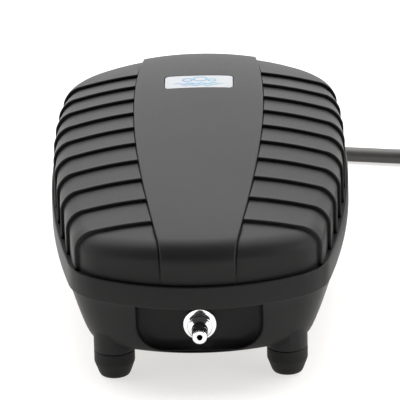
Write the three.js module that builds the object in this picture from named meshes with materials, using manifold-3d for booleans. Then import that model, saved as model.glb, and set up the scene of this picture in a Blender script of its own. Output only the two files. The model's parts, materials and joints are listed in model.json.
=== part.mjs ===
// A free-standing diaphragm air pump for ponds and aquaria, in millimetres.
// The origin is under the middle of the housing, on the surface it stands on: +Z is up,
// -Y is the front with the hose nozzle, and the mains lead leaves the rear.
import * as THREE from "three";
import { mergeVertices } from "three/addons/utils/BufferGeometryUtils.js";
import Module from "manifold-3d";

const wasm = await Module();
wasm.setup();

// ---------------------------------------------------------------- driving dimensions
const GAP = 0.3; // between neighbouring pieces
const LENGTH = 225; // front to back, over the belt of the cover
const HALF_WIDTH = 66.2; // half the width over the belt
const WIDEST_Y = 21; // where the housing is widest

const SIDE_R = 540; // plan radii of the belt
const FRONT_R = 87;
const FRONT_CORNER_R = 26;
const REAR_R = 95;
const REAR_CORNER_R = 32;

const BELT = { low: 39.8, high: 50 };
const CREST = { z: 81.6, y: 14.3 }; // highest point of the dome
const FALL_ALONG = { drop: 11.2, over: 112.4, power: 2.28 };
const FALL_ACROSS = { drop: 10.46, over: 65, power: 2.16 };
const DOME = { inset: 1.25, edge: 7.2 }; // wall and round top edge of the dome
const SLAT = { count: 10, pitch: 18, frontY: -89.3, step: 1.6, overlap: 1 };
const PANEL = { half: 28.8, middleY: 33, spread: 1560, proud: 0.3 };
const BADGE = { y: 53.5, halfX: 15.3, halfY: 9, corner: 2.2, tilt: -0.06, z: 79.55, thick: 0.9 };
const COVER_WALL = 4.4; // from the crest of a slat to the inner face
const SKIRT_INSET = 4; // inner face of the belt
const LEDGE_Z = 46; // top of the skirt's inner step, where the seal is pressed

const BASE_TOP = 39.5;
const BASE_BOTTOM = 15;
const BASE_WALL = 2.6;
const FLOOR_Z = 18.5; // inner face of the floor of the lower housing
const BASE_LEVELS = [
  { z: BASE_BOTTOM, inset: 11.3 },
  { z: 16, inset: 9.7 },
  { z: 18.6, inset: 8 },
  { z: 23, inset: 6.2 },
  { z: 30, inset: 4 },
  { z: BASE_TOP, inset: 1.5 },
];
const TONGUE = { outer: 4.3, inner: 6.8, top: 43.4, root: 35.5 };
const POCKET = { wallY: -97, half: 27, floorZ: 16.6, corner: 12, ceiling: 42 };

const LEG = { x: 37.2, y: 86.4, r: 8.8, seamZ: 12, top: 28, boss: 5.5, bossTop: 40.5, bore: 1.8 };
const FOOT_PLUG = { r: 3.6, socket: 3.9, top: 17.5, socketTop: 24 };
const COVER_BOSS = { r: 4.6, low: 41, high: 66 };

const NOZZLE = { z: 27, tipY: -112.3, flangeY: -98.5, flangeR: 7.1, bore: 1.2, shank: 3.9 };
const LEAD = { d: 7, exitX: 22, exitZ: 23.5, boreR: 3.85, neckR: 4.9 };
const BOSS_Y = 107.5; // rear face of the boss that holds the strain relief
const FILTER = { y: 10, halfX: 22, halfY: 18, wall: 1.5, frameTop: 23 };
const CHASSIS = { low: 24, high: 27, halfX: 42, halfY: 80 };
const DAMPER = { x: 34, frontY: -48, rearY: 66, hole: 3.3, postTop: 21.7 };

const COIL_CORE = { y: 56, z: 46, poleIn: 14, poleOut: 20, halfLong: 18, halfTall: 10, leg: 7 };
const ARM = { x: 30.3, half: 3, low: 39.5, high: 51.5, pivotY: -66, endY: 74, eye: 6 };
const PIN_R = 2.5;
const MAGNET = { in: 24.5, out: 29, frontY: 39, rearY: 73, low: 35.5, high: 55.5 };
const VALVE = { halfX: 16, front: -60, rear: -14, low: 27.3, high: 60.8, wallX: 11.5, midY: -37 };
const SPIGOT = { r: 15, out: 22, recessR: 12.5, recessX: 15, z: 45.5 };
const PORT = { r: 2.3, offset: 6 };
const FLAP = { thick: 1, long: 8, tall: 8 };
const OUTLET_Z = 36; // height of the valve body's hose tail

const COIL = { x: 146, y: 95.1, mean: 38.3, columns: 3, layers: 4, lift: 1.2 };
const PLUG = { x: 126, y: 3, z: 13.2, length: 40, face: 18.4, tail: 6.5, half: 12.8 };

// Route of the lead outside the housing, chosen by hand
const LEAD_ROUTE = [
  [22, 88, 23.5], [22, 100, 23.5], [22, 112, 23.5], [22, 124, 23.5], [22.4, 131.5, 22.8],
  [23.9, 138.4, 20.9], [26.4, 144.5, 18.1], [30.1, 149.6, 14.9], [35, 153.6, 11.5],
  [41.1, 156.3, 8.5], [48.5, 157.7, 5.9], [57.1, 157.8, 4.1], [67, 156.5, 3.5],
  [79, 154.2, 3.5], [91, 151.8, 3.6], [103, 149.5, 3.9], [115, 147.2, 4.3],
  [124.5, 145.3, 4.6], [128.4, 144.5, 4.7],
];
const END_ROUTE = [
  [145.5, 41.5, 22.3], [143.7, 39.2, 21.7], [137.6, 33.3, 19.4], [132.6, 27, 17.2],
  [129, 20, 15.2], [126.7, 12.1, 13.6], [126, 3.7, 13.2],
];

// ---------------------------------------------------------------- materials
function material(color, roughness, metalness = 0) {
  return new THREE.MeshStandardMaterial({ color, roughness, metalness });
}
const blackPlastic = material(0x3b3b3b, 0.6);
const blackRubber = material(0x262626, 0.85);
const darkPlastic = material(0x2b2d30, 0.55);
const palePlastic = material(0xc9c6bc, 0.5);
const chrome = material(0xd8dadc, 0.08, 1);
const steel = material(0x9a9da0, 0.35, 1);
const brass = material(0xb08d4a, 0.3, 1);
const copper = material(0xa85a32, 0.35, 1);
const ferrite = material(0x2f3134, 0.5, 0.3);
const felt = material(0xb9b4a6, 0.95);
const badgeFoil = material(0xdfe6ea, 0.3, 0.2);

// ---------------------------------------------------------------- helpers
const pump = new THREE.Group();

function add(name, shape, look) {
  const geometry = shape instanceof THREE.BufferGeometry ? shape : geometryOf(shape);
  const mesh = new THREE.Mesh(geometry, look);
  mesh.name = name;
  pump.add(mesh);
  return mesh;
}

// A closed geometry as a solid that can be joined and cut
function solid(geometry) {
  const bare = geometry.clone();
  bare.deleteAttribute("normal");
  bare.deleteAttribute("uv");
  const merged = mergeVertices(bare, 1e-4);
  const vertProperties = merged.attributes.position.array;
  const triVerts = new Uint32Array(merged.index.array);
  const made = new wasm.Manifold(new wasm.Mesh({ numProp: 3, vertProperties, triVerts }));
  if (made.volume() > 0) return made;
  triVerts.reverse();
  return new wasm.Manifold(new wasm.Mesh({ numProp: 3, vertProperties, triVerts }));
}

function geometryOf(manifold) {
  const mesh = manifold.getMesh();
  const geometry = new THREE.BufferGeometry();
  geometry.setAttribute("position", new THREE.BufferAttribute(mesh.vertProperties, 3));
  geometry.setIndex(new THREE.BufferAttribute(mesh.triVerts, 1));
  geometry.computeVertexNormals();
  return geometry;
}

function joined(...shapes) {
  return shapes.reduce((whole, next) => whole.add(next));
}

function cut(whole, ...holes) {
  return holes.reduce((left, hole) => left.subtract(hole), whole);
}

// A block between two corners
function block([x0, x1], [y0, y1], [z0, z1]) {
  const box = new THREE.BoxGeometry(x1 - x0, y1 - y0, z1 - z0);
  return solid(box.translate((x0 + x1) / 2, (y0 + y1) / 2, (z0 + z1) / 2));
}

// A round rod along an axis, from one height on it to another, through the point (a, b)
function rod(axis, radius, from, to, a, b, sides = 16) {
  const shape = new THREE.CylinderGeometry(radius, radius, to - from, sides);
  const middle = (from + to) / 2;
  if (axis === "x") return solid(shape.rotateZ(Math.PI / 2).translate(middle, a, b));
  if (axis === "y") return solid(shape.translate(a, middle, b));
  return solid(shape.rotateX(Math.PI / 2).translate(a, b, middle));
}

// A turned piece: profile of [radius, height] along the axis
function turned(axis, profile, sides = 24) {
  const points = profile.map(([r, h]) => new THREE.Vector2(r, h));
  const shape = new THREE.LatheGeometry(points, sides);
  if (axis === "x") shape.rotateZ(-Math.PI / 2);
  if (axis === "z") shape.rotateX(Math.PI / 2);
  return solid(shape);
}

function roundedRect(halfX, halfY, corner) {
  const shape = new THREE.Shape();
  shape.absarc(halfX - corner, halfY - corner, corner, 0, Math.PI / 2);
  shape.absarc(corner - halfX, halfY - corner, corner, Math.PI / 2, Math.PI);
  shape.absarc(corner - halfX, corner - halfY, corner, Math.PI, 1.5 * Math.PI);
  shape.absarc(halfX - corner, corner - halfY, corner, 1.5 * Math.PI, 2 * Math.PI);
  shape.closePath();
  return shape;
}

// A flat outline raised from one height to another
function raised(shape, low, high, curveSegments = 4) {
  const options = { depth: high - low, bevelEnabled: false, curveSegments };
  return solid(new THREE.ExtrudeGeometry(shape, options).translate(0, 0, low));
}

// An outline drawn in X and Z, carried along Y
function carried(shape, frontY, rearY, curveSegments = 6) {
  const options = { depth: rearY - frontY, bevelEnabled: false, curveSegments };
  const geometry = new THREE.ExtrudeGeometry(shape, options);
  return solid(geometry.rotateX(Math.PI / 2).translate(0, rearY, 0));
}

// A screw standing on its head: the head's underside is at z = 0 and the shank points up
function screw(headR, headHeight, shankR, shankLength) {
  const profile = [
    [0, -headHeight], [headR * 0.85, -headHeight], [headR, -headHeight * 0.6], [headR, 0],
    [shankR, 0], [shankR, shankLength - shankR], [0, shankLength],
  ];
  return turned("z", profile, 10);
}

// ---------------------------------------------------------------- plan outline
function cornerCentre(end, r, turn) {
  const a = SIDE_R - r;
  const b = end.r - r;
  const sideX = HALF_WIDTH - SIDE_R;
  const dx = -sideX;
  const dy = end.y - WIDEST_Y;
  const d = Math.hypot(dx, dy);
  const along = (a * a - b * b + d * d) / (2 * d);
  const off = turn * Math.sqrt(a * a - along * along);
  return {
    x: sideX + (along * dx - off * dy) / d,
    y: WIDEST_Y + (along * dy + off * dx) / d,
    r,
  };
}

// The right half of the belt as tangent arcs, from the front to the rear, each with the
// directions of the outward normal at its two ends
function beltArcs() {
  const side = { x: HALF_WIDTH - SIDE_R, y: WIDEST_Y, r: SIDE_R };
  const front = { x: 0, y: FRONT_R - LENGTH / 2, r: FRONT_R };
  const rear = { x: 0, y: LENGTH / 2 - REAR_R, r: REAR_R };
  const frontCorner = cornerCentre(front, FRONT_CORNER_R, -1);
  const rearCorner = cornerCentre(rear, REAR_CORNER_R, 1);
  const turn = (from, to) => Math.atan2(to.y - from.y, to.x - from.x);
  const turns = [
    -Math.PI / 2, turn(front, frontCorner), turn(side, frontCorner),
    turn(side, rearCorner), turn(rear, rearCorner), Math.PI / 2,
  ];
  const arcs = [front, frontCorner, side, rearCorner, rear];
  const steps = [3, 4, 6, 4, 3];
  return arcs.map((arc, i) => ({ ...arc, from: turns[i], to: turns[i + 1], steps: steps[i] }));
}
const ARCS = beltArcs();

// Outline points of the plan, drawn in by a constant distance, anticlockwise from the front.
// insetAt gives the distance at a place y, so that slats can stand out.
function outline(insetAt) {
  const right = [];
  for (const arc of ARCS) {
    for (let i = 0; i < arc.steps; i++) {
      const a = arc.from + ((arc.to - arc.from) * i) / arc.steps;
      const r = arc.r - insetAt(arc.y + arc.r * Math.sin(a));
      right.push([arc.x + r * Math.cos(a), arc.y + r * Math.sin(a)]);
    }
  }
  const rearmost = [0, LENGTH / 2 - insetAt(LENGTH / 2)];
  const left = right.slice(1).reverse().map(([x, y]) => [-x, y]);
  return [...right, rearmost, ...left];
}

// A closed body from rings of equal length, bottom first, capped with fans
function loft(rings, capPoints) {
  const n = rings[0].length;
  const points = rings.flat();
  const faces = [];
  for (let k = 0; k + 1 < rings.length; k++) {
    for (let i = 0; i < n; i++) {
      const j = (i + 1) % n;
      faces.push(k * n + i, k * n + j, (k + 1) * n + j);
      faces.push(k * n + i, (k + 1) * n + j, (k + 1) * n + i);
    }
  }
  const [low, high] = [points.length, points.length + 1];
  points.push(...capPoints);
  const top = (rings.length - 1) * n;
  for (let i = 0; i < n; i++) {
    const j = (i + 1) % n;
    faces.push(low, j, i, high, top + i, top + j);
  }
  const geometry = new THREE.BufferGeometry();
  geometry.setAttribute("position", new THREE.Float32BufferAttribute(points.flat(), 3));
  geometry.setIndex(faces);
  return solid(geometry);
}

// A prism or a stepped stack on the plan outline: levels of { z, inset }
function planBody(levels) {
  const rings = levels.map(({ z, inset }) => outline(() => inset).map(([x, y]) => [x, y, z]));
  const last = levels[levels.length - 1];
  return loft(rings, [[0, 0, levels[0].z], [0, 0, last.z]]);
}

// ---------------------------------------------------------------- dome of the cover
function domeZ(x, y) {
  const along = Math.abs(y - CREST.y) / FALL_ALONG.over;
  const across = Math.abs(x) / FALL_ACROSS.over;
  return (
    CREST.z
    - FALL_ALONG.drop * along ** FALL_ALONG.power
    - FALL_ACROSS.drop * across ** FALL_ACROSS.power
  );
}

// The dome's whole body above lowZ, standing proud of the crest surface by proud(y)
function domeBody(proud, lowZ) {
  const edgeTurns = [0, 45, 90].map(THREE.MathUtils.degToRad);
  const wall = outline((y) => DOME.inset - proud(y));
  const rings = [wall.map(([x, y]) => [x, y, lowZ])];
  for (const a of edgeTurns) {
    const inset = DOME.inset + DOME.edge * (1 - Math.cos(a));
    const below = DOME.edge * (1 - Math.sin(a));
    const plan = outline((y) => inset - proud(y));
    rings.push(plan.map(([x, y]) => [x, y, domeZ(x, y) - below + proud(y) * Math.sin(a)]));
  }
  const rim = outline((y) => DOME.inset + DOME.edge - proud(y));
  for (const share of [0.68, 0.34]) {
    rings.push(rim.map(([x, y]) => [x * share, y * share]).map(([x, y]) => [
      x, y, domeZ(x, y) + proud(y),
    ]));
  }
  return loft(rings, [[0, 0, lowZ], [0, 0, domeZ(0, 0) + proud(0)]]);
}

// The strip between two places along the housing, above the belt
function strip(frontY, rearY) {
  return block([-80, 80], [frontY, rearY], [BELT.high - 5, 100]);
}

// One slat: it swells towards its front edge and ends there in a step. Its rear end runs on
// a little way under the slat behind it.
function slat(frontY, rearY, low, high) {
  const proud = (y) => low + ((high - low) * (rearY - y)) / (rearY - frontY);
  return domeBody(proud, BELT.high - 4).intersect(strip(frontY, rearY + SLAT.overlap));
}

function slats() {
  const fronts = Array.from({ length: SLAT.count }, (_, i) => SLAT.frontY + i * SLAT.pitch);
  const pieces = fronts.slice(0, -1).map((y, i) => slat(y, fronts[i + 1], -SLAT.step, 0));
  const rearSlat = slat(fronts[SLAT.count - 1], LENGTH, -3 * SLAT.step, 0);
  const nose = slat(-LENGTH, SLAT.frontY, -SLAT.step, 2 * SLAT.step);
  return joined(...pieces, rearSlat, nose);
}

// The raised panel down the middle, narrower towards the front
function centrePanel() {
  const steps = 6;
  const edge = Array.from({ length: steps + 1 }, (_, i) => {
    const y = (LENGTH / 2 + 2) * (1 - (2 * i) / steps);
    return new THREE.Vector2(PANEL.half - (y - PANEL.middleY) ** 2 / PANEL.spread, y);
  });
  const otherEdge = edge.map(({ x, y }) => new THREE.Vector2(-x, y)).reverse();
  const prism = raised(new THREE.Shape([...edge, ...otherEdge]), BELT.high - 3, 100);
  return domeBody(() => PANEL.proud, BELT.high - 4).intersect(prism);
}

function badgeSolid(grow, low, high) {
  const shape = roundedRect(BADGE.halfX + grow, BADGE.halfY + grow, BADGE.corner);
  const options = { depth: high - low, bevelEnabled: false, curveSegments: 4 };
  const flat = new THREE.ExtrudeGeometry(shape, options).translate(0, 0, low);
  return solid(flat.rotateX(BADGE.tilt).translate(0, BADGE.y, BADGE.z));
}

function upperCover() {
  const belt = planBody([{ z: BELT.low, inset: 0.4 }, { z: BELT.low + 0.4, inset: 0 },
    { z: BELT.high, inset: 0 }]);
  const outer = joined(belt, slats(), centrePanel());
  const cavity = domeBody(() => -COVER_WALL, LEDGE_Z - 1);
  const skirt = planBody([{ z: BELT.low - 1, inset: SKIRT_INSET }, { z: LEDGE_Z, inset: SKIRT_INSET }]);
  const shell = cut(outer, cavity, skirt, badgeSolid(GAP, 0, 5));
  const inside = domeBody(() => 0.5 - COVER_WALL, LEDGE_Z - 6);
  const bosses = corners().map(([x, y]) => (
    rod("z", COVER_BOSS.r, COVER_BOSS.low, 90, x, y, 12).intersect(inside)
  ));
  const bores = corners().map(([x, y]) => rod("z", LEG.bore, 40, COVER_BOSS.high, x, y, 12));
  return cut(joined(shell, ...bosses), ...bores);
}

function corners() {
  return [[-LEG.x, -LEG.y], [LEG.x, -LEG.y], [-LEG.x, LEG.y], [LEG.x, LEG.y]];
}
const CORNER_NAMES = ["front_left", "front_right", "rear_left", "rear_right"];

// ---------------------------------------------------------------- lower housing
function pocketOutline(grow) {
  const { half, floorZ, corner } = POCKET;
  const shape = new THREE.Shape();
  const low = floorZ - grow;
  const wide = half + grow;
  shape.moveTo(-wide, BASE_TOP);
  shape.lineTo(-wide, low + corner);
  shape.absarc(-wide + corner, low + corner, corner, Math.PI, 1.5 * Math.PI);
  shape.absarc(wide - corner, low + corner, corner, 1.5 * Math.PI, 2 * Math.PI);
  shape.lineTo(wide, BASE_TOP);
  shape.closePath();
  return shape;
}

// An outline in X and Z turned so that it stands up facing the front
function pocketBody(grow, frontY, rearY) {
  return carried(pocketOutline(grow), frontY, rearY, 5);
}

function baseShell() {
  const outer = planBody(BASE_LEVELS);
  const tongue = planBody([{ z: BASE_TOP - 1, inset: TONGUE.outer },
    { z: TONGUE.top, inset: TONGUE.outer }]);
  const cavityLevels = [
    { z: FLOOR_Z, inset: 12.6 },
    { z: 21, inset: 7.2 + BASE_WALL },
    { z: 24, inset: 5.9 + BASE_WALL },
    { z: 30, inset: 4 + BASE_WALL },
    { z: TONGUE.root - 2, inset: 3.1 + BASE_WALL },
    { z: TONGUE.root, inset: TONGUE.inner },
    { z: TONGUE.top + 1, inset: TONGUE.inner },
  ];
  const cavity = planBody(cavityLevels);
  const backWall = POCKET.wallY + BASE_WALL;
  const pocketShell = pocketBody(BASE_WALL, -LENGTH, backWall);
  const ceiling = block([-POCKET.half - BASE_WALL, POCKET.half + BASE_WALL],
    [-LENGTH, backWall], [BASE_TOP - 1, POCKET.ceiling]).intersect(tongue);
  const legs = corners().map(([x, y]) => rod("z", LEG.r, LEG.seamZ, LEG.top, x, y, 16));
  const body = joined(outer, tongue, ...legs);
  const hollow = cut(cavity, pocketShell);
  return cut(joined(cut(body, hollow), ceiling), pocketBody(0, -LENGTH, POCKET.wallY));
}

function filterFrame() {
  const { y, halfX, halfY, wall, frameTop } = FILTER;
  const frame = block([-halfX - wall, halfX + wall], [y - halfY - wall, y + halfY + wall],
    [FLOOR_Z - 1, frameTop]);
  const opening = block([-halfX, halfX], [y - halfY, y + halfY], [0, frameTop + 1]);
  return { frame, opening };
}

function lowerHousing() {
  const { frame, opening } = filterFrame();
  const bosses = corners().map(([x, y]) => rod("z", LEG.boss, FLOOR_Z - 1, LEG.bossTop, x, y, 12));
  const posts = damperPlaces().map(([x, y]) => rod("z", 5, FLOOR_Z - 1, DAMPER.postTop, x, y, 12));
  const reliefBoss = rod("y", 7.4, 101, BOSS_Y, LEAD.exitX, LEAD.exitZ, 16);
  const saddle = block([LEAD.exitX - 9, LEAD.exitX + 9], [88, 94], [FLOOR_Z - 1, 19.6]);
  const whole = joined(baseShell(), frame, ...bosses, ...posts, reliefBoss, saddle);
  const sockets = corners().map(([x, y]) => (
    rod("z", FOOT_PLUG.socket, 0, FOOT_PLUG.socketTop, x, y, 12)
  ));
  const bores = corners().map(([x, y]) => rod("z", LEG.bore, 0, 60, x, y, 12));
  const nozzleHole = rod("y", NOZZLE.shank + GAP, -LENGTH, -90, 0, NOZZLE.z, 16);
  const reliefHole = rod("y", LEAD.neckR + GAP, 95, LENGTH, LEAD.exitX, LEAD.exitZ, 16);
  const reliefSeat = rod("y", 7, 95, 103, LEAD.exitX, LEAD.exitZ, 16);
  return cut(whole, opening, ...sockets, ...bores, nozzleHole, reliefHole, reliefSeat);
}

function damperPlaces() {
  const { x, frontY, rearY } = DAMPER;
  return [[-x, frontY], [x, frontY], [-x, rearY], [x, rearY]];
}

function addHousing() {
  add("upper_cover", upperCover(), blackPlastic);
  add("lower_housing", lowerHousing(), blackPlastic);
  add("name_badge", badgeSolid(0, GAP, GAP + BADGE.thick), badgeFoil);
  const sealLow = TONGUE.top + GAP;
  const sealHigh = LEDGE_Z - GAP;
  const seal = cut(
    planBody([{ z: sealLow, inset: TONGUE.outer + 0.1 }, { z: sealHigh, inset: TONGUE.outer + 0.1 }]),
    planBody([{ z: sealLow - 1, inset: 6.6 }, { z: sealHigh + 1, inset: 6.6 }]),
  );
  add("housing_seal", seal, blackRubber);
  corners().forEach(([x, y], i) => {
    const housingScrew = add(`housing_screw_${CORNER_NAMES[i]}`, screw(3.4, 2.6, 1.5, 40), steel);
    housingScrew.position.set(x, y, FOOT_PLUG.socketTop - GAP);
    const foot = add(`rubber_foot_${CORNER_NAMES[i]}`, footSolid(), blackRubber);
    foot.position.set(x, y, 0);
  });
}

function footSolid() {
  const seam = LEG.seamZ - GAP;
  return turned("z", [
    [0, 0], [5.2, 0], [6, 0.5], [6.7, 1.9], [LEG.r, 6.1], [LEG.r, seam],
    [FOOT_PLUG.r, seam], [FOOT_PLUG.r, FOOT_PLUG.top - 0.8], [FOOT_PLUG.r - 0.8, FOOT_PLUG.top],
    [0, FOOT_PLUG.top],
  ], 16);
}

// ---------------------------------------------------------------- air filter
function addFilter() {
  const { y, halfX, halfY } = FILTER;
  const plate = block([GAP - halfX, halfX - GAP], [y - halfY + GAP, y + halfY - GAP], [15.6, 17.6]);
  const grip = block([-11, 11], [y - 1.2, y + 1.2], [13.4, 16]);
  const slots = [-14, -8.5, 8.5, 14].map((at) => (
    block([-halfX + 5, halfX - 5], [y + at - 1, y + at + 1], [10, 20])
  ));
  add("filter_cover", cut(joined(plate, grip), ...slots), blackPlastic);
  const pad = block([0.5 - halfX, halfX - 0.5], [y - halfY + 0.5, y + halfY - 0.5], [17.9, 22.6]);
  add("filter_pad", pad, felt);
}

// ---------------------------------------------------------------- outlet
function addOutlet() {
  const { z, tipY, flangeY, flangeR, bore, shank } = NOZZLE;
  const nutFront = POCKET.wallY + BASE_WALL + GAP + 1 + GAP;
  const profile = [
    [bore, tipY], [2.7, tipY], [3.25, tipY + 0.6], [3.25, tipY + 1.9], [2.45, tipY + 2.5],
    [2.45, tipY + 3.4], [3.4, tipY + 4.9], [3.4, tipY + 5.3], [2.55, tipY + 5.8],
    [2.55, tipY + 6.7], [3.5, tipY + 8.3], [3.5, tipY + 8.8], [2.9, tipY + 9.4],
    [4.3, flangeY - 3], [4.9, flangeY - 2.4], [4.9, flangeY], [flangeR - 0.5, flangeY],
    [flangeR, flangeY + 0.5], [flangeR, POCKET.wallY - GAP], [shank, POCKET.wallY - GAP],
    [shank, -89], [2.2, -88.4], [2.2, -84.5], [bore, -84.5], [bore, tipY],
  ];
  const nozzle = add("outlet_nozzle", turned("y", profile, 16), chrome);
  nozzle.position.set(0, 0, z);
  const washer = add("outlet_washer", turned("y", [
    [shank + GAP, 0], [6.8, 0], [6.8, 1], [shank + GAP, 1], [shank + GAP, 0],
  ]), blackRubber);
  washer.position.set(0, nutFront - GAP - 1, z);
  const nut = add("nozzle_nut", cut(
    solid(new THREE.CylinderGeometry(6.4, 6.4, 3, 6)),
    rod("y", shank + GAP, -5, 5, 0, 0, 24),
  ), brass);
  nut.position.set(0, nutFront + 1.5, z);
  add("air_hose", airHose(), palePlastic);
}

function airHose() {
  const section = new THREE.Shape().absarc(0, 0, 4, 0, 2 * Math.PI);
  section.holes.push(new THREE.Path().absarc(0, 0, 2.6, 0, 2 * Math.PI, true));
  const route = [[-88, NOZZLE.z], [-84, NOZZLE.z], [-80, 27.8], [-74, 31.5], [-68, OUTLET_Z - 0.6],
    [-64, OUTLET_Z], [VALVE.front - GAP, OUTLET_Z]];
  const extrudePath = new THREE.CatmullRomCurve3(route.map(([y, z]) => new THREE.Vector3(0, y, z)));
  return new THREE.ExtrudeGeometry(section, { steps: 12, extrudePath, curveSegments: 5 });
}

// ---------------------------------------------------------------- chassis and magnet
function addChassis() {
  const { low, high, halfX, halfY } = CHASSIS;
  const plate = raised(roundedRect(halfX, halfY, 8), low, high);
  const { y, poleIn, poleOut, halfTall, z } = COIL_CORE;
  const posts = [-1, 1].map((s) => (
    block(s > 0 ? [poleIn, poleOut] : [-poleOut, -poleIn], [y - 12, y + 12],
      [high - 1, z - halfTall - GAP])
  ));
  const notch = block([-9, 9], [-100, -66], [0, 50]);
  const grommets = damperPlaces().map(([x, at]) => rod("z", DAMPER.hole, 0, 50, x, at, 16));
  const screwHoles = [-1, 1].map((s) => rod("z", 1.9, 0, 50, (s * (poleIn + poleOut)) / 2, y, 12));
  const windows = [block([-12, 12], [-6, 34], [0, 50])];
  const chassis = cut(joined(plate, ...posts), notch, ...grommets, ...screwHoles, ...windows);
  add("chassis", chassis, darkPlastic);
  damperPlaces().forEach(([x, at], i) => {
    const lowZ = DAMPER.postTop + GAP;
    const damper = add(`chassis_damper_${CORNER_NAMES[i]}`, turned("z", [
      [0, lowZ], [5, lowZ], [5, low - GAP], [DAMPER.hole - GAP, low - GAP],
      [DAMPER.hole - GAP, high + GAP], [5, high + GAP], [4.4, high + 2], [0, high + 2],
    ], 12), blackRubber);
    damper.position.set(x, at, 0);
  });
}

function addMagnetCore() {
  const { y, z, poleIn, poleOut, halfLong, halfTall, leg } = COIL_CORE;
  const tall = [z - halfTall, z + halfTall];
  const poles = [-1, 1].map((s) => (
    block(s > 0 ? [poleIn, poleOut] : [-poleOut, -poleIn], [y - halfLong, y + halfLong], tall)
  ));
  const core = joined(block([-poleIn - 1, poleIn + 1], [y - leg, y + leg], tall), ...poles);
  const poleX = (poleIn + poleOut) / 2;
  const holes = [-1, 1].map((s) => rod("z", 1.9, 0, 90, s * poleX, y, 12));
  add("core_laminations", cut(core, ...holes), steel);
  const room = leg + GAP;
  const roomZ = halfTall + GAP;
  const flangeOut = poleIn - GAP;
  const flangeIn = flangeOut - 1.5;
  const ring = (x, outer, inner) => cut(
    block(x, [y - outer[0], y + outer[0]], [z - outer[1], z + outer[1]]),
    block([-50, 50], [y - inner[0], y + inner[0]], [z - inner[1], z + inner[1]]),
  );
  const bobbin = joined(
    ring([-flangeOut, flangeOut], [room + 1.5, roomZ + 1.5], [room, roomZ]),
    ring([-flangeOut, -flangeIn], [16, 16], [room, roomZ]),
    ring([flangeIn, flangeOut], [16, 16], [room, roomZ]),
  );
  add("coil_bobbin", bobbin, palePlastic);
  const wound = carried(roundedRect(14, 14, 4), 2 * -(flangeIn - GAP), 0, 4);
  const winding = cut(
    solid(geometryOf(wound).rotateZ(Math.PI / 2).translate(-(flangeIn - GAP), y, z)),
    block([-50, 50], [y - room - 1.8, y + room + 1.8], [z - roomZ - 1.8, z + roomZ + 1.8]),
  );
  add("coil_winding", winding, copper);
  [-1, 1].forEach((s) => {
    const bolt = add(`core_screw_${s < 0 ? "left" : "right"}`, screw(3, 2, 1.6, 31), steel);
    bolt.rotation.x = Math.PI;
    bolt.position.set(s * poleX, y, z + halfTall + GAP);
  });
}

// ---------------------------------------------------------------- arms, diaphragms, valves
function sided(shape, side) {
  return side > 0 ? shape : shape.mirror([1, 0, 0]);
}

function armSolid() {
  const { x, half, low, high, pivotY, endY, eye } = ARM;
  const bar = block([x - half, x + half], [pivotY, MAGNET.frontY - 2], [low, high]);
  const head = block([MAGNET.out + GAP, x + half], [MAGNET.frontY - 3, endY], [33.5, 57.5]);
  const eyeRound = rod("z", eye, low, high, x, pivotY, 12);
  const pinHole = rod("z", PIN_R + GAP, 0, 90, x, pivotY, 12);
  const screwHole = rod("x", 1.9, 0, 50, VALVE.midY, SPIGOT.z, 12);
  return cut(joined(bar, head, eyeRound), pinHole, screwHole);
}

function pivotBlockSolid() {
  const { x, pivotY, low, high } = ARM;
  const whole = block([x - 7, x + 7], [pivotY - 12, pivotY + 7], [CHASSIS.high + GAP, 58]);
  const slot = block([x - 10, x + 10], [pivotY - 8, pivotY + 20], [low - 0.6, high + 0.6]);
  return cut(whole, slot, rod("z", PIN_R + GAP, 30, 56, x, pivotY, 12));
}

// A rubber cup pushed over the spigot, with a boss in its middle for the arm
function diaphragmSolid() {
  const mouth = VALVE.halfX + GAP + 0.7;
  const inner = SPIGOT.r + GAP;
  const cup = turned("x", [
    [0, SPIGOT.out + GAP], [inner, SPIGOT.out + GAP], [inner, mouth], [inner + 2, mouth],
    [inner + 2, 23.1], [14.4, 24.2], [12, 23.6], [8.5, 24.2], [7, 27], [0, 27],
  ], 20);
  const hole = rod("x", 1.6 + GAP, 23.8, 40, 0, 0, 12);
  return solid(geometryOf(cut(cup, hole)).translate(0, VALVE.midY, SPIGOT.z));
}

function valveBodySolid() {
  const { halfX, front, rear, low, high, wallX, midY } = VALVE;
  const core = block([-halfX, halfX], [front, rear], [low, high]);
  const spigots = rod("x", SPIGOT.r, -SPIGOT.out, SPIGOT.out, midY, SPIGOT.z, 20);
  const tail = rod("y", 2.2, front - 4.5, front + 1, 0, OUTLET_Z, 16);
  const recesses = [-1, 1].map((s) => (
    rod("x", SPIGOT.recessR, Math.min(s * SPIGOT.recessX, s * 30), Math.max(s * SPIGOT.recessX, s * 30),
      midY, SPIGOT.z, 20)
  ));
  const outletRoom = block([-wallX, wallX], [front + 3, midY - 1.2], [low + 4, high + 9]);
  const inletRoom = block([-wallX, wallX], [midY + 1.2, rear - 3], [low + 4, high + 9]);
  const ports = [-1, 1].map((s) => (
    rod("x", PORT.r, -20, 20, midY + s * PORT.offset, SPIGOT.z, 16)
  ));
  const outlet = rod("y", 1.3, front - 20, front + 4, 0, OUTLET_Z, 12);
  const inlet = rod("y", 3, rear - 4, rear + 5, 0, SPIGOT.z, 16);
  return cut(joined(core, spigots, tail), ...recesses, outletRoom, inletRoom, ...ports, outlet, inlet);
}

function flapSolid(x, frontY) {
  const z = [SPIGOT.z - FLAP.tall / 2, SPIGOT.z + FLAP.tall / 2];
  return block([x, x + FLAP.thick], [frontY, frontY + FLAP.long], z);
}

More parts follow.
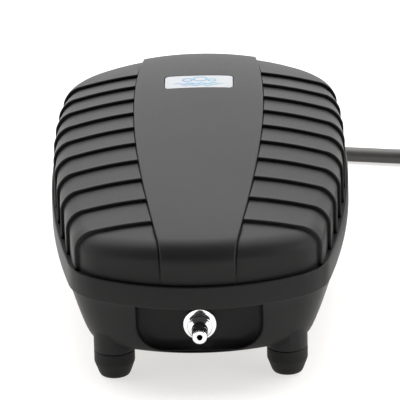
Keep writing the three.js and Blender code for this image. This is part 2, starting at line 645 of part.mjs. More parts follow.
function addDrive() {
  add("valve_body", valveBodySolid(), darkPlastic);
  add("valve_lid", block([-VALVE.halfX, VALVE.halfX], [VALVE.front, VALVE.rear],
    [VALVE.high + GAP, VALVE.high + GAP + 2.6]), darkPlastic);
  const outletFlapX = VALVE.wallX - GAP - FLAP.thick;
  const inletFlapX = SPIGOT.recessX + GAP;
  for (const [name, side] of [["left", -1], ["right", 1]]) {
    add(`${name}_arm`, sided(armSolid(), side), darkPlastic);
    const magnet = block([MAGNET.in, MAGNET.out], [MAGNET.frontY, MAGNET.rearY],
      [MAGNET.low, MAGNET.high]);
    add(`${name}_magnet`, sided(magnet, side), ferrite);
    add(`${name}_pivot_block`, sided(pivotBlockSolid(), side), darkPlastic);
    add(`${name}_pivot_pin`, rod("z", PIN_R, 30.5, 55.5, side * ARM.x, ARM.pivotY, 12), steel);
    add(`${name}_diaphragm`, sided(diaphragmSolid(), side), blackRubber);
    const bolt = add(`${name}_diaphragm_screw`, screw(3, 1.8, 1.5, 9), steel);
    bolt.rotation.y = (-side * Math.PI) / 2;
    bolt.position.set(side * (ARM.x + ARM.half + GAP), VALVE.midY, SPIGOT.z);
    const outletY = VALVE.midY - PORT.offset - FLAP.long / 2;
    const inletY = VALVE.midY + PORT.offset - FLAP.long / 2 - 0.5;
    add(`${name}_outlet_flap`, sided(flapSolid(outletFlapX, outletY), side), blackRubber);
    add(`${name}_inlet_flap`, sided(flapSolid(inletFlapX, inletY), side), blackRubber);
  }
}

// ---------------------------------------------------------------- mains lead
function leadTube(route, steps) {
  const section = new THREE.Shape().absarc(0, 0, LEAD.d / 2, 0, 2 * Math.PI);
  const extrudePath = new THREE.CatmullRomCurve3(route.map((p) => new THREE.Vector3(...p)));
  return new THREE.ExtrudeGeometry(section, { steps, extrudePath, curveSegments: 4 });
}

function strainRelief() {
  const { boreR, neckR } = LEAD;
  return turned("y", [
    [boreR, 100], [6.6, 100], [6.6, 102.6], [neckR, 102.6], [neckR, BOSS_Y + GAP],
    [6.9, BOSS_Y + GAP], [6.9, 109.8], [6.1, 110.6], [4.7, 124], [boreR, 124], [boreR, 100],
  ], 16);
}

function cordClamp() {
  const bar = block([-9, 9], [88, 94], [3.8, 6.4]);
  const feet = [-1, 1].map((s) => (
    block([s > 0 ? 4 : -9, s > 0 ? 9 : -4], [88, 94], [-3.6, 4])
  ));
  const holes = [-1, 1].map((s) => rod("z", 1.6, -10, 10, s * 6.5, 91, 12));
  return cut(joined(bar, ...feet), ...holes);
}

function addLeadEntry() {
  const relief = add("strain_relief", strainRelief(), blackRubber);
  relief.position.set(LEAD.exitX, 0, LEAD.exitZ);
  const clamp = add("cord_clamp", cordClamp(), darkPlastic);
  clamp.position.set(LEAD.exitX, 0, LEAD.exitZ);
  [-1, 1].forEach((s) => {
    const bolt = add(`cord_clamp_screw_${s < 0 ? "left" : "right"}`, screw(2.5, 1.6, 1.25, 9.5), steel);
    bolt.rotation.x = Math.PI;
    bolt.position.set(LEAD.exitX + s * 6.5, 91, LEAD.exitZ + 6.4 + GAP);
  });
  const terminals = cut(
    block([-14, 6], [83, 95], [FLOOR_Z + GAP, 31]),
    ...[-9, 1].map((x) => rod("z", 2, 25, 40, x, 89, 12)),
  );
  add("terminal_block", terminals, palePlastic);
}

function coilRing() {
  const { mean, columns, layers, lift } = COIL;
  const half = (columns * LEAD.d) / 2;
  const high = lift + layers * LEAD.d;
  return turned("z", [
    [mean - half, lift], [mean + half, lift], [mean + half, high], [mean - half, high],
    [mean - half, lift],
  ], 28);
}

function coilTie() {
  const { x, y, mean, columns, layers, lift } = COIL;
  const room = 0.5;
  const half = (columns * LEAD.d) / 2 + room;
  const low = lift - GAP;
  const high = lift + layers * LEAD.d + GAP;
  const thick = 0.8;
  const wide = [y - 4, y + 4];
  return cut(
    block([x + mean - half - thick, x + mean + half + thick], wide, [low - thick, high + thick]),
    block([x + mean - half, x + mean + half], [y - 9, y + 9], [low, high]),
  );
}

function plugBody() {
  const { length, face, tail, half } = PLUG;
  const edge = [
    [tail, 0], [tail + 1.5, -9], [face - 3, -21], [face, -29], [face, -length],
  ];
  const otherEdge = edge.map(([x, y]) => [-x, y]).reverse();
  const points = [...edge, ...otherEdge].map(([x, y]) => new THREE.Vector2(x, y));
  return raised(new THREE.Shape(points), -half, half);
}

function addLead() {
  add("power_cord", leadTube(LEAD_ROUTE, 40), blackRubber);
  const coil = add("power_cord_coil", coilRing(), blackRubber);
  coil.position.set(COIL.x, COIL.y, 0);
  add("cord_tie", coilTie(), blackRubber);
  add("power_cord_end", leadTube(END_ROUTE, 12), blackRubber);
  const plug = new THREE.Group();
  plug.position.set(PLUG.x, PLUG.y, PLUG.z);
  const body = add("plug_body", plugBody(), blackRubber);
  plug.add(body);
  [-1, 1].forEach((s) => {
    const pin = add(`plug_pin_${s < 0 ? "left" : "right"}`, turned("y", [
      [0, -19], [1.8, -19], [2.4, -18], [2.4, 0], [0, 0],
    ], 16), chrome);
    pin.position.set(s * 9.5, -PLUG.length - GAP, 0);
    plug.add(pin);
  });
  pump.add(plug);
}

addHousing();
addFilter();
addOutlet();
addChassis();
addMagnetCore();
addDrive();
addLeadEntry();
addLead();

export default pump;
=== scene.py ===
import json
import math

import bmesh
import bpy
from mathutils import Matrix, Vector


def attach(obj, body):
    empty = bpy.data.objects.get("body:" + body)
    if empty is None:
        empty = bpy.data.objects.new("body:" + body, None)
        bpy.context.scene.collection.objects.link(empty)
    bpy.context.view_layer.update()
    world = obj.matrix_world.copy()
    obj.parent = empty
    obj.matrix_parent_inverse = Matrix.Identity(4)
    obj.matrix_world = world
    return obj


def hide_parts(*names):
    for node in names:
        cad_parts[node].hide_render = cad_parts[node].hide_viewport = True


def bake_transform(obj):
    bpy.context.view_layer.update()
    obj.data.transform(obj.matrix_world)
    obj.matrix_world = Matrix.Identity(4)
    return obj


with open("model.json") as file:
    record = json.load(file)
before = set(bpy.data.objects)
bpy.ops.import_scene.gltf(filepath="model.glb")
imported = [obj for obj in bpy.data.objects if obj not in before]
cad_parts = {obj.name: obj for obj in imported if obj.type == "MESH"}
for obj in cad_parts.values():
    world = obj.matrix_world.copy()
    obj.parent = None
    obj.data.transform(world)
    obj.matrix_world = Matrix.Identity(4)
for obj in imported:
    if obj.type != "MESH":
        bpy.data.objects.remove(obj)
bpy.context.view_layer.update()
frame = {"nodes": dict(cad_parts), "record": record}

MM = 0.001
NODES = frame["nodes"]

# ---------------------------------------------------------------- driving dimensions
LENGTH, HALF_WIDTH, WIDEST_Y = 225, 66.2, 21
SIDE_R, FRONT_R, FRONT_CORNER_R, REAR_R, REAR_CORNER_R = 540, 87, 26, 95, 32

BELT_LOW, BELT_HIGH = 39.8, 50
CREST_Z, CREST_Y = 81.6, 14.3
FALL_ALONG = (11.2, 112.4, 2.28)  # drop, over, power
FALL_ACROSS = (10.46, 65, 2.16)
WALL_TOP_INSET, WALL_FOOT_INSET, EDGE_R = 1.25, 1.25, 7.2
GUTTER_Z = 49.2  # bottom of the groove between the belt and the dome
SLAT_COUNT, SLAT_PITCH, SLAT_FRONT, SLAT_STEP = 10, 18, -89.3, 1.6
PANEL_HALF, PANEL_MIDDLE, PANEL_SPREAD, PANEL_PROUD = 28.8, 33, 1560, 0.3
SKIRT_INSET, LEDGE_Z, COVER_WALL = 4, 46, 4.4

BADGE = dict(y=53.5, half_x=15.3, half_y=9, corner=2.2, gap=0.3, top=-0.06, thick=0.9, mark=(-0.12, 0.0))
RECESS_LEVELS = (-1.2, 4)  # the badge's recess, over the panel's surface
WAVES = ((-3.2, 11, 0.55), (-5.7, 8, 0.45))  # height on the badge, half length, half width
BUBBLES = ((-5.2, 2.2, 2.1), (0.6, 3.6, 3.0), (5.9, 1.6, 1.7))  # x, height on the badge, radius

BASE_TOP, FLOOR_Z, BASE_WALL = 39.5, 18.5, 2.6
BASE_LEVELS = [(15, 11.3), (16, 9.7), (18.6, 8), (23, 6.2), (30, 4), (BASE_TOP, 1.5)]
TONGUE_LEVELS = [(BASE_TOP - 1, 4.3), (43, 4.3), (43.4, 4.7)]
HOLLOW_LEVELS = [
    (FLOOR_Z, 12.6), (21, 9.8), (24, 8.5), (30, 6.6), (33.5, 5.7), (35.5, 6.8), (44.4, 6.8),
]
POCKET = dict(wall=-97, half=27, floor=16.6, corner=12, side_top=34, ceiling=42, fillet=0.9, scoop=4)
LEG_X, LEG_Y, LEG_R, LEG_SEAM, LEG_TOP = 37.2, 86.4, 8.8, 12, 28
SCREW_BORE_R = 1.8
COVER_BOSS = dict(r=4.6, low=41, bore=(40, 66))
BASE_BOSS = dict(r=5.5, high=40.5, bore=(0, 60))
SOCKET = dict(r=3.9, high=24)  # room for each screw's head, up through the foot
DAMPERS = [(-34, -48), (34, -48), (-34, 66), (34, 66)]
DAMPER_POST = dict(r=5, high=21.7)
FILTER = dict(half=22, front=-8, rear=28, wall=1.5, frame_high=23, open_high=24)
NOZZLE_HOLE_R, NOZZLE_HOLE_END = 4.2, -90
SADDLE = dict(half=9, front=88, rear=94, high=19.6)
RELIEF_BOSS = dict(r=7.4, start=101, end=107.5)
RELIEF_HOLE = dict(r=5.2, seat_r=7, start=95, seat_end=103)
NOZZLE_Z = 27
LEAD_D, LEAD_X, LEAD_Z = 7, 22, 23.5
COIL = dict(x=146, y=95.1, radii=(45.3, 38.3, 31.3), low=4.7, start=79, turns=11.386)
COIL_LAYERS = 4
# In turns: where the first move to the next place starts, how long a move is, and how much less
# than a turn passes just before and just after a rise to the next layer
COIL_MOVES = dict(first=0.62, length=0.5, less=0.07)
PLUG = dict(x=126, z=13.2, tail=6, pin=9.5)
TIE = dict(half_x=11, low=0.9, high=29.5, corner=3.5, thick=0.8, half_wide=4, lapped=1.9)
EDGE_BEVEL = 0.25  # on the edges of the CAD nodes that still show

CORNERS = {
    "front_left": (-LEG_X, -LEG_Y), "front_right": (LEG_X, -LEG_Y),
    "rear_left": (-LEG_X, LEG_Y), "rear_right": (LEG_X, LEG_Y),
}

# The lead's route outside the housing, chosen point by point: from the terminals to the coil, and
# from the coil to the plug
LEAD_ROUTE = [
    (22, 88, 23.5), (22, 100, 23.5), (22, 112, 23.5), (22, 124, 23.5), (22.4, 131.5, 22.8),
    (23.9, 138.4, 20.9), (26.4, 144.5, 18.1), (30.1, 149.6, 14.9), (35, 153.6, 11.5),
    (41.1, 156.3, 8.5), (48.5, 157.7, 5.9), (57.1, 157.8, 4.1), (67, 156.5, 3.5),
    (79, 154.2, 3.5), (91, 151.8, 3.6), (103, 149.5, 3.9), (115, 147.2, 4.3),
    (124.5, 145.3, 4.6), (140, 141.9, 4.7),
]
END_ROUTE = [
    (159.4, 50.3, 25.2), (151, 44.8, 23.7), (143.7, 39.2, 21.7), (137.6, 33.3, 19.4),
    (132.6, 27, 17.2), (129, 20, 15.2), (126.7, 12.1, 13.6), (126, 3.7, 13.2),
]


# ---------------------------------------------------------------- small helpers
def lerp(a, b, share):
    return a + (b - a) * share


def new_object(name, mesh):
    made = bpy.data.objects.new(name, mesh)
    bpy.context.scene.collection.objects.link(made)
    return made


def smooth(piece, crease=35):
    """Shades a piece smooth, with a crease where two faces meet at more than that angle."""
    mesh = piece.data
    mesh.polygons.foreach_set("use_smooth", [True] * len(mesh.polygons))
    mesh.set_sharp_from_angle(angle=math.radians(crease))
    return piece


def from_grids(name, grids, weld=0.002):
    """One mesh from grids of points in millimetres, welded where their edges meet."""
    shape = bmesh.new()
    for rows in grids:
        placed = [[shape.verts.new(Vector(p) * MM) for p in row] for row in rows]
        for low, high in zip(placed, placed[1:]):
            for i in range(len(low) - 1):
                shape.faces.new((low[i], low[i + 1], high[i + 1], high[i]))
    bmesh.ops.remove_doubles(shape, verts=shape.verts, dist=weld * MM)
    bmesh.ops.dissolve_degenerate(shape, edges=shape.edges, dist=weld * MM)
    bmesh.ops.recalc_face_normals(shape, faces=shape.faces)
    mesh = bpy.data.meshes.new(name)
    shape.to_mesh(mesh)
    shape.free()
    return new_object(name, mesh)


def closed(row):
    return [*row, row[0]]


def lathe(name, profile, axis="z", place=(0, 0, 0), sides=64):
    """A turned piece from a profile of (radius, height) that closes on itself or on the axis."""
    def put(r, h, turn):
        a, b = r * math.cos(turn), r * math.sin(turn)
        return {"x": (h, a, b), "y": (a, h, b), "z": (a, b, h)}[axis]
    turns = [2 * math.pi * i / sides for i in range(sides)]
    rows = [closed([put(r, h, t) for t in turns]) for r, h in profile]
    made = from_grids(name, [rows])
    made.data.transform(Matrix.Translation(Vector(place) * MM))
    return made


def rounded(points, radii, steps=4):
    """A profile with round corners: radii gives each point's radius, and 0 keeps it sharp."""
    made = []
    for i, (point, radius) in enumerate(zip(points, radii)):
        if radius == 0:
            made.append(point)
            continue
        here = Vector(point)
        before = Vector(points[i - 1]) - here
        after = Vector(points[(i + 1) % len(points)]) - here
        reach = min(radius, before.length * 0.49, after.length * 0.49)
        a, b = here + before.normalized() * reach, here + after.normalized() * reach
        for k in range(steps + 1):
            t = k / steps
            made.append(tuple(a * (1 - t) ** 2 + here * 2 * t * (1 - t) + b * t ** 2))
    return made


def combined(base, tools, operation):
    """Joins or cuts solids, and removes the tools."""
    for tool in tools:
        step = base.modifiers.new("step", "BOOLEAN")
        step.operation, step.solver, step.object = operation, "MANIFOLD", tool
    bpy.context.view_layer.update()
    result = bpy.data.meshes.new_from_object(base.evaluated_get(bpy.context.evaluated_depsgraph_get()))
    base.modifiers.clear()
    base.data = result
    for tool in tools:
        bpy.data.objects.remove(tool)
    return base


# ---------------------------------------------------------------- plan outline
def corner_centre(end_y, end_r, r, turn):
    a, b = SIDE_R - r, end_r - r
    side_x = HALF_WIDTH - SIDE_R
    dx, dy = -side_x, end_y - WIDEST_Y
    d = math.hypot(dx, dy)
    along = (a * a - b * b + d * d) / (2 * d)
    off = turn * math.sqrt(a * a - along * along)
    return side_x + (along * dx - off * dy) / d, WIDEST_Y + (along * dy + off * dx) / d


def belt_arcs():
    """Right half of the belt, front to rear: arcs of x, y, radius and their last normal."""
    front_y, rear_y = FRONT_R - LENGTH / 2, LENGTH / 2 - REAR_R
    side = (HALF_WIDTH - SIDE_R, WIDEST_Y)
    front = corner_centre(front_y, FRONT_R, FRONT_CORNER_R, -1)
    rear = corner_centre(rear_y, REAR_R, REAR_CORNER_R, 1)
    turn = lambda a, b: math.atan2(b[1] - a[1], b[0] - a[0])
    return [
        (0, front_y, FRONT_R, turn((0, front_y), front)),
        (*front, FRONT_CORNER_R, turn(side, front)),
        (*side, SIDE_R, turn(side, rear)),
        (*rear, REAR_CORNER_R, turn((0, rear_y), rear)),
        (0, rear_y, REAR_R, math.pi / 2),
    ]


ARCS = belt_arcs()


def on_outline(angle, inset):
    """The point of the outline, drawn in by inset, whose outward normal has that angle."""
    x, y, r, _ = next(arc for arc in ARCS if angle <= arc[3] + 1e-9)
    return x + (r - inset) * math.cos(angle), y + (r - inset) * math.sin(angle)


def angle_at_y(place, inset):
    start = -math.pi / 2
    for _, y, r, end in ARCS:
        sine = (place - y) / (r - inset)
        if abs(sine) <= 1 and start - 1e-9 <= math.asin(sine) <= end + 1e-9:
            return math.asin(sine)
        start = end
    raise ValueError(f"the outline doesn't reach y = {place}")


def panel_half(y):
    return PANEL_HALF - (y - PANEL_MIDDLE) ** 2 / PANEL_SPREAD


def angle_at_panel(end, inset):
    """Where the panel's edge crosses the drawn-in outline, at the front (-1) or rear (1)."""
    centre_y, r = (ARCS[0][1], FRONT_R - inset) if end < 0 else (ARCS[4][1], REAR_R - inset)
    y = end * (LENGTH / 2 - inset)
    for _ in range(8):
        angle = end * math.acos(panel_half(y) / r)
        y = centre_y + r * math.sin(angle)
    return angle


# ---------------------------------------------------------------- cover
def dome_z(x, y):
    (d1, over1, power1), (d2, over2, power2) = FALL_ALONG, FALL_ACROSS
    return CREST_Z - d1 * (abs(y - CREST_Y) / over1) ** power1 - d2 * (abs(x) / over2) ** power2


# Rows up the wall and round its top edge: inset, share of the wall's height, turn of the edge
WALL_ROWS = [(lerp(WALL_FOOT_INSET, WALL_TOP_INSET, i / 6), i / 6, 0) for i in range(7)]
EDGE_ROWS = [
    (WALL_TOP_INSET + EDGE_R * (1 - math.cos(t)), 1, t)
    for t in (math.radians(7.5 * i) for i in range(1, 13))
]
ROWS = WALL_ROWS + EDGE_ROWS
TOP_INSET = ROWS[-1][0]

# Lanes from the middle of the panel outwards: kind, share or distance from the edge, depth
RIM = 0.7
DIP = 0.5
LANES = (
    [("panel", i / 8, 0) for i in range(9)]
    + [("rim", 0.35, 0.03), ("rim", 0.12, 0.12), ("rim", 0, 0.3)]
    + [("dip", 0.02, 0.45), ("dip", 0.18, 0.4), ("dip", 0.36, 0.1)]
    + [("slat", i / 16, 0) for i in range(17)]
)


def tail_proud(y):
    start = SLAT_FRONT + (SLAT_COUNT - 1) * SLAT_PITCH
    return -3 * SLAT_STEP * (y - start) / (LENGTH - start)


def nose_proud(y):
    return lerp(-SLAT_STEP, 2 * SLAT_STEP, (SLAT_FRONT - y) / (LENGTH + SLAT_FRONT))


def lane_on_ring(lane, row, end, step_y):
    """A lane's point on one row round the front (-1) or rear (1), and its angle."""
    kind, value, depth = lane
    inset, share, _ = row
    proud_at = nose_proud if end < 0 else tail_proud
    if kind in ("panel", "rim"):
        proud = lerp(proud_at(end * LENGTH / 2), PANEL_PROUD, share) - depth * share
        edge = angle_at_panel(end, inset - proud)
        middle = end * math.pi / 2
        mm = 1 / ((FRONT_R if end < 0 else REAR_R) - inset)
        if kind == "panel":
            angle = lerp(middle, edge + end * RIM * mm, value)
        else:
            angle = edge + end * value * mm
        return (*on_outline(angle, inset - proud), proud, angle)
    at_step = inset - proud_at(step_y)
    last = angle_at_y(step_y, at_step)
    first = angle_at_panel(end, at_step)
    mm = 1 / ((FRONT_R if end < 0 else REAR_R) - at_step)
    if kind == "dip":
        angle = first - end * value * mm
    else:
        angle = lerp(first - end * DIP * mm, last, value)
    proud = proud_at(on_outline(angle, at_step)[1]) - depth * share
    return (*on_outline(angle, inset - proud), proud, angle)


def row_on_ring(row, end, step_y):
    _, share, turn = row
    made = []
    for lane in LANES:
        x, y, proud, _ = lane_on_ring(lane, row, end, step_y)
        top = dome_z(x, y) - EDGE_R * (1 - math.sin(turn)) + proud * math.sin(turn)
        made.append((x, y, lerp(GUTTER_Z, top, share)))
    return made


def row_across(y, proud, panel_y):
    """A row over the top from the panel's middle to the round edge."""
    angle = angle_at_y(y, TOP_INSET - proud)
    outer = on_outline(angle, TOP_INSET - proud)[0]
    made = []
    for kind, value, depth in LANES:
        if kind == "panel":
            x = value * (panel_half(panel_y) - RIM)
        elif kind == "rim":
            x = panel_half(panel_y) - value
        elif kind == "dip":
            x = panel_half(y) + value
        else:
            x = lerp(panel_half(y) + DIP, outer, value)
        on_panel = kind in ("panel", "rim")
        at = panel_y if on_panel else y
        made.append((x, at, dome_z(x, at) + (PANEL_PROUD if on_panel else proud) - depth))
    return made


def row_down(y, proud):
    """A row down the side from the round edge to the gutter."""
    made = []
    for inset, share, turn in reversed(ROWS):
        x, _ = on_outline(angle_at_y(y, inset - proud), inset - proud)
        top = dome_z(x, y) - EDGE_R * (1 - math.sin(turn)) + proud * math.sin(turn)
        made.append((x, y, lerp(GUTTER_Z, top, share)))
    return made


def cap_rows(end, step_y, proud_at, steps=4):
    """Rows over the nose or the tail, from the gutter up and back to the step line."""
    rising = [row_on_ring(row, end, step_y) for row in ROWS]
    across = row_across(step_y, proud_at(step_y), step_y)
    made = list(rising)
    for k in range(1, steps + 1):
        w = k / steps
        row = []
        for lane, ring, far in zip(LANES, rising[-1], across):
            y = lerp(ring[1], far[1], w)
            bend = panel_half(y) - lerp(panel_half(ring[1]), panel_half(far[1]), w)
            x = lerp(ring[0], far[0], w) + (bend if ring[0] > 0.01 else 0)
            proud = PANEL_PROUD if lane[0] in ("panel", "rim") else proud_at(y)
            row.append((x, y, dome_z(x, y) + proud - lane[2]))
        made.append(row)
    made[-1] = across
    return made


# The step at a slat's front edge, front to rear: distance from the edge, height over the crest
STEP_PROFILE = [
    (-0.7, None), (-0.3, -1.6), (-0.02, -1.62), (0.2, -1.6), (0.24, -1.15), (0.03, -0.68),
    (0, -0.58), (0.07, -0.3), (0.24, -0.08), (0.5, -0.01), (0.9, None),
]


BETWEEN_STEPS = (0.17, 0.3, 0.43, 0.56, 0.69, 0.82, 0.91)  # shares of the way to the next step
STEP_REACH = 0.65  # nearer to a slat's edge than this, the panel's rows stay at the edge


def stations():
    """Places along the side: y, height over the crest surface, and y on the panel."""
    made = []
    for k in range(SLAT_COUNT):
        edge = SLAT_FRONT + k * SLAT_PITCH
        for offset, height in STEP_PROFILE:
            y = edge + offset
            behind = -SLAT_STEP * offset / SLAT_PITCH
            ahead = nose_proud(y) if k == 0 else -SLAT_STEP + behind
            proud = height if height is not None else (ahead if offset < 0 else behind)
            made.append((y, proud, edge if abs(offset) < STEP_REACH else y))
        if k < SLAT_COUNT - 1:
            for share in BETWEEN_STEPS:
                y = edge + share * SLAT_PITCH
                made.append((y, -SLAT_STEP * share, y))
    last = SLAT_FRONT + (SLAT_COUNT - 1) * SLAT_PITCH + STEP_PROFILE[-1][0]
    made[-1] = (last, tail_proud(last), last)
    return made


BELT_PROFILE = [  # inset and height, from the gutter out, down the belt and up inside the skirt
    (0.95, GUTTER_Z), (0.9, 49.7), (0.72, 49.95), (0.45, BELT_HIGH), (0.2, 49.94), (0.05, 49.75),
    (0, 49.45), (0, 45), (0, 40.5), (0.06, 40.15), (0.22, 39.9), (0.5, BELT_LOW),
    (SKIRT_INSET - 0.3, BELT_LOW), (SKIRT_INSET, BELT_LOW + 0.3), (SKIRT_INSET, LEDGE_Z),
    (5.8, LEDGE_Z), (5.9, LEDGE_Z + 0.3),
]
INNER_EDGE_R = 5


def foot_columns(places, first_y, last_y):
    """How each column of the cover's foot is found again at another inset."""
    column = lambda end, step_y: [
        ("angle", lane_on_ring(lane, ROWS[0], end, step_y)[3]) for lane in LANES[:-1]
    ]
    sides = [("y", place[2]) for place in places]
    return column(-1, first_y) + sides + column(1, last_y)[::-1]


def ring_at(columns, inset, height):
    made = []
    for kind, value in columns:
        x, y = on_outline(value if kind == "angle" else angle_at_y(value, inset), inset)
        made.append((x, y, height(x, y)))
    return made


def inner_rows(columns):
    """The cover's inner face, from the ledge to the middle of the ceiling."""
    wall = WALL_TOP_INSET + COVER_WALL
    edge = lambda x, y: dome_z(x, y) - COVER_WALL - INNER_EDGE_R
    made = [ring_at(columns, wall, edge)]
    for t in (math.radians(a) for a in (22.5, 45, 67.5, 90)):
        up = INNER_EDGE_R * math.sin(t)
        inset = wall + INNER_EDGE_R * (1 - math.cos(t))
        made.append(ring_at(columns, inset, lambda x, y: edge(x, y) + up))
    rim = made[-1]
    for share in (0.8, 0.6, 0.4, 0.2, 0):
        made.append([
            (x * share, y * share, dome_z(x * share, y * share) - COVER_WALL) for x, y, _ in rim
        ])
    return made


def mirrored(grids):
    return grids + [[[(-x, y, z) for x, y, z in row] for row in rows] for rows in grids]


def cover_shell():
    places = stations()
    first_y, last_y = places[0][0], places[-1][0]
    nose = cap_rows(-1, first_y, nose_proud)
    tail = cap_rows(1, last_y, tail_proud)
    across = [row_across(*place) for place in places]
    down = [row_down(y, proud) for y, proud, _ in places]
    foot = nose[0][:-1] + [row[-1] for row in down] + tail[0][:-1][::-1]
    columns = foot_columns(places, first_y, last_y)
    belt = [foot] + [ring_at(columns, i, lambda x, y, z=z: z) for i, z in BELT_PROFILE]
    grids = [nose, across, down, tail, belt + inner_rows(columns)]
    shell = from_grids("cover_shell", mirrored(grids))
    bosses = [
        rod("z", COVER_BOSS["r"], COVER_BOSS["low"], dome_z(x, y) - COVER_WALL + 1, x, y)
        for x, y in CORNERS.values()
    ]
    combined(shell, bosses, "UNION")
    bores = [rod("z", SCREW_BORE_R, *COVER_BOSS["bore"], x, y) for x, y in CORNERS.values()]
    recess = badge_body("recess", BADGE["gap"], *RECESS_LEVELS)
    return combined(shell, [recess, *bores], "DIFFERENCE")


# ---------------------------------------------------------------- badge
def badge_outline(grow, spacing=1.5):
    """Points round the badge's rounded rectangle, as places from its middle."""
    half_x, half_y = BADGE["half_x"] + grow, BADGE["half_y"] + grow
    r = BADGE["corner"] + grow
    made = []
    for k, (sx, sy) in enumerate(((1, 1), (-1, 1), (-1, -1), (1, -1))):
        for i in range(7):
            a = math.pi / 2 * (k + i / 6)
            made.append((sx * (half_x - r) + r * math.cos(a), sy * (half_y - r) + r * math.sin(a)))
    filled = []
    for i, (x, y) in enumerate(made):
        next_x, next_y = made[(i + 1) % len(made)]
        steps = max(1, round(math.hypot(next_x - x, next_y - y) / spacing))
        filled += [(lerp(x, next_x, k / steps), lerp(y, next_y, k / steps)) for k in range(steps)]
    return filled


def on_panel(x, y, height):
    return x, y, dome_z(x, y) + PANEL_PROUD + height


def badge_body(name, grow, low, high, edge=0):
    """A plate bent to the panel, between two heights over the panel's surface. edge rounds it."""
    ring = lambda draw, height: closed([
        on_panel(x, BADGE["y"] + y, height) for x, y in badge_outline(grow - draw)
    ])
    scaled = lambda share, height: closed([
        on_panel(x * share, BADGE["y"] + y * share, height) for x, y in badge_outline(grow - edge)
    ])
    shares = (0.8, 0.6, 0.4, 0.2, 0)
    rows = [scaled(share, low) for share in reversed(shares)]
    rows += [ring(edge, low), ring(0, low + edge), ring(0, high - edge)]
    rows += [ring(edge * 0.3, high - edge * 0.3), ring(edge, high)]
    rows += [scaled(share, high) for share in shares]
    return from_grids(name, [rows], 0.001)


def ribbon(centre, half_width, low, high):
    """A thin raised stroke along a line of points on the badge."""
    sides = []
    for i, (x, y) in enumerate(centre):
        ax, ay = centre[max(0, i - 1)]
        bx, by = centre[min(len(centre) - 1, i + 1)]
        run = math.hypot(bx - ax, by - ay)
        taper = half_width * min(1, 0.15 + 4 * i / len(centre), 0.15 + 4 * (1 - i / len(centre)))
        nx, ny = -(by - ay) / run * taper, (bx - ax) / run * taper
        sides.append([(x + nx, y + ny), (x + nx * 0.8, y + ny * 0.8),
                      (x - nx * 0.8, y - ny * 0.8), (x - nx, y - ny)])
    place = lambda p, height: on_panel(p[0], BADGE["y"] + p[1], height)
    section = lambda q: closed([place(q[0], low), place(q[0], high - 0.02), place(q[1], high),
                                place(q[2], high), place(q[3], high - 0.02), place(q[3], low)])
    rows = [section(q) for q in sides]
    cap = lambda row: [tuple(sum(c) / 6 for c in zip(*row[:-1]))] * 7
    return [cap(rows[0]), *rows, cap(rows[-1])]


def badge_mark():
    """The badge's mark: two waves, and three bubbles that rise from them."""
    low, high = BADGE["mark"]
    grids = []
    for low_y, half_length, half_width in WAVES:
        line = [(x, low_y + 0.75 * math.sin(x * 1.15)) for x in
                (lerp(-half_length, half_length, i / 60) for i in range(61))]
        grids.append(ribbon(line, half_width, low, high))
    for x, y, r in BUBBLES:
        profile = [(r - 0.4, low), (r + 0.4, low), (r + 0.4, high - 0.02), (r + 0.32, high),
                   (r - 0.32, high), (r - 0.4, high - 0.02), (r - 0.4, low)]
        turns = [2 * math.pi * i / 40 for i in range(41)]
        grids.append([
            [on_panel(x + q * math.cos(t), BADGE["y"] + y + q * math.sin(t), h) for t in turns]
            for q, h in profile
        ])
    return from_grids("badge_mark", grids, 0.0005)


# ---------------------------------------------------------------- lower housing
def full_columns(spacing=2.2):
    """Normals all the way round the plan, anticlockwise from the front."""
    half, start = [], -math.pi / 2
    for _, _, r, end in ARCS:
        steps = max(2, round(r * (end - start) / spacing))
        half += [lerp(start, end, i / steps) for i in range(steps)]
        start = end
    return half


def plan_ring(inset, z):
    half = [(*on_outline(a, inset), z) for a in full_columns()]
    rear = (0, LENGTH / 2 - inset, z)
    return closed([*half, rear, *[(-x, y, h) for x, y, h in half[:0:-1]]])


def plan_body(name, levels):
    """A closed body on the plan outline from levels of (z, inset), bottom first."""
    rings = [plan_ring(inset, z) for z, inset in levels]
    flat = lambda ring: [(0, 0, ring[0][2])] * len(ring)
    return from_grids(name, [[flat(rings[0]), *rings, flat(rings[-1])]])


def softened(levels, steps=4):
    """More levels on a smooth curve through the given ones."""
    made = []
    for i in range(len(levels) - 1):
        p = [levels[max(0, i - 1)], levels[i], levels[i + 1], levels[min(len(levels) - 1, i + 2)]]
        for k in range(steps):
            t = k / steps
            made.append(tuple(
                0.5 * (2 * b + (c - a) * t + (2 * a - 5 * b + 4 * c - d) * t * t
                       + (3 * b - a - 3 * c + d) * t ** 3)
                for a, b, c, d in zip(*p)
            ))
    return made + [levels[-1]]


def base_inset(z):
    levels = softened(BASE_LEVELS)
    for (low, a), (high, b) in zip(levels, levels[1:]):
        if z <= high:
            return lerp(a, b, max(0, (z - low) / (high - low)))
    return levels[-1][1]


def rod(axis, radius, start, end, a, b, sides=32):
    """A round tool along an axis through the point (a, b)."""
    place = {"x": (0, a, b), "y": (a, 0, b), "z": (a, b, 0)}[axis]
    return lathe("rod", [(0, start), (radius, start), (radius, end), (0, end)], axis, place, sides)


def block(x, y, z):
    (x0, x1), (y0, y1), (z0, z1) = x, y, z
    low = [(x0, y0, z0), (x1, y0, z0), (x1, y1, z0), (x0, y1, z0)]
    high = [(px, py, z1) for px, py, _ in low]
    cap = lambda ring: [((x0 + x1) / 2, (y0 + y1) / 2, ring[0][2])] * 5
    return from_grids("block", [[cap(low), closed(low), closed(high), cap(high)]])


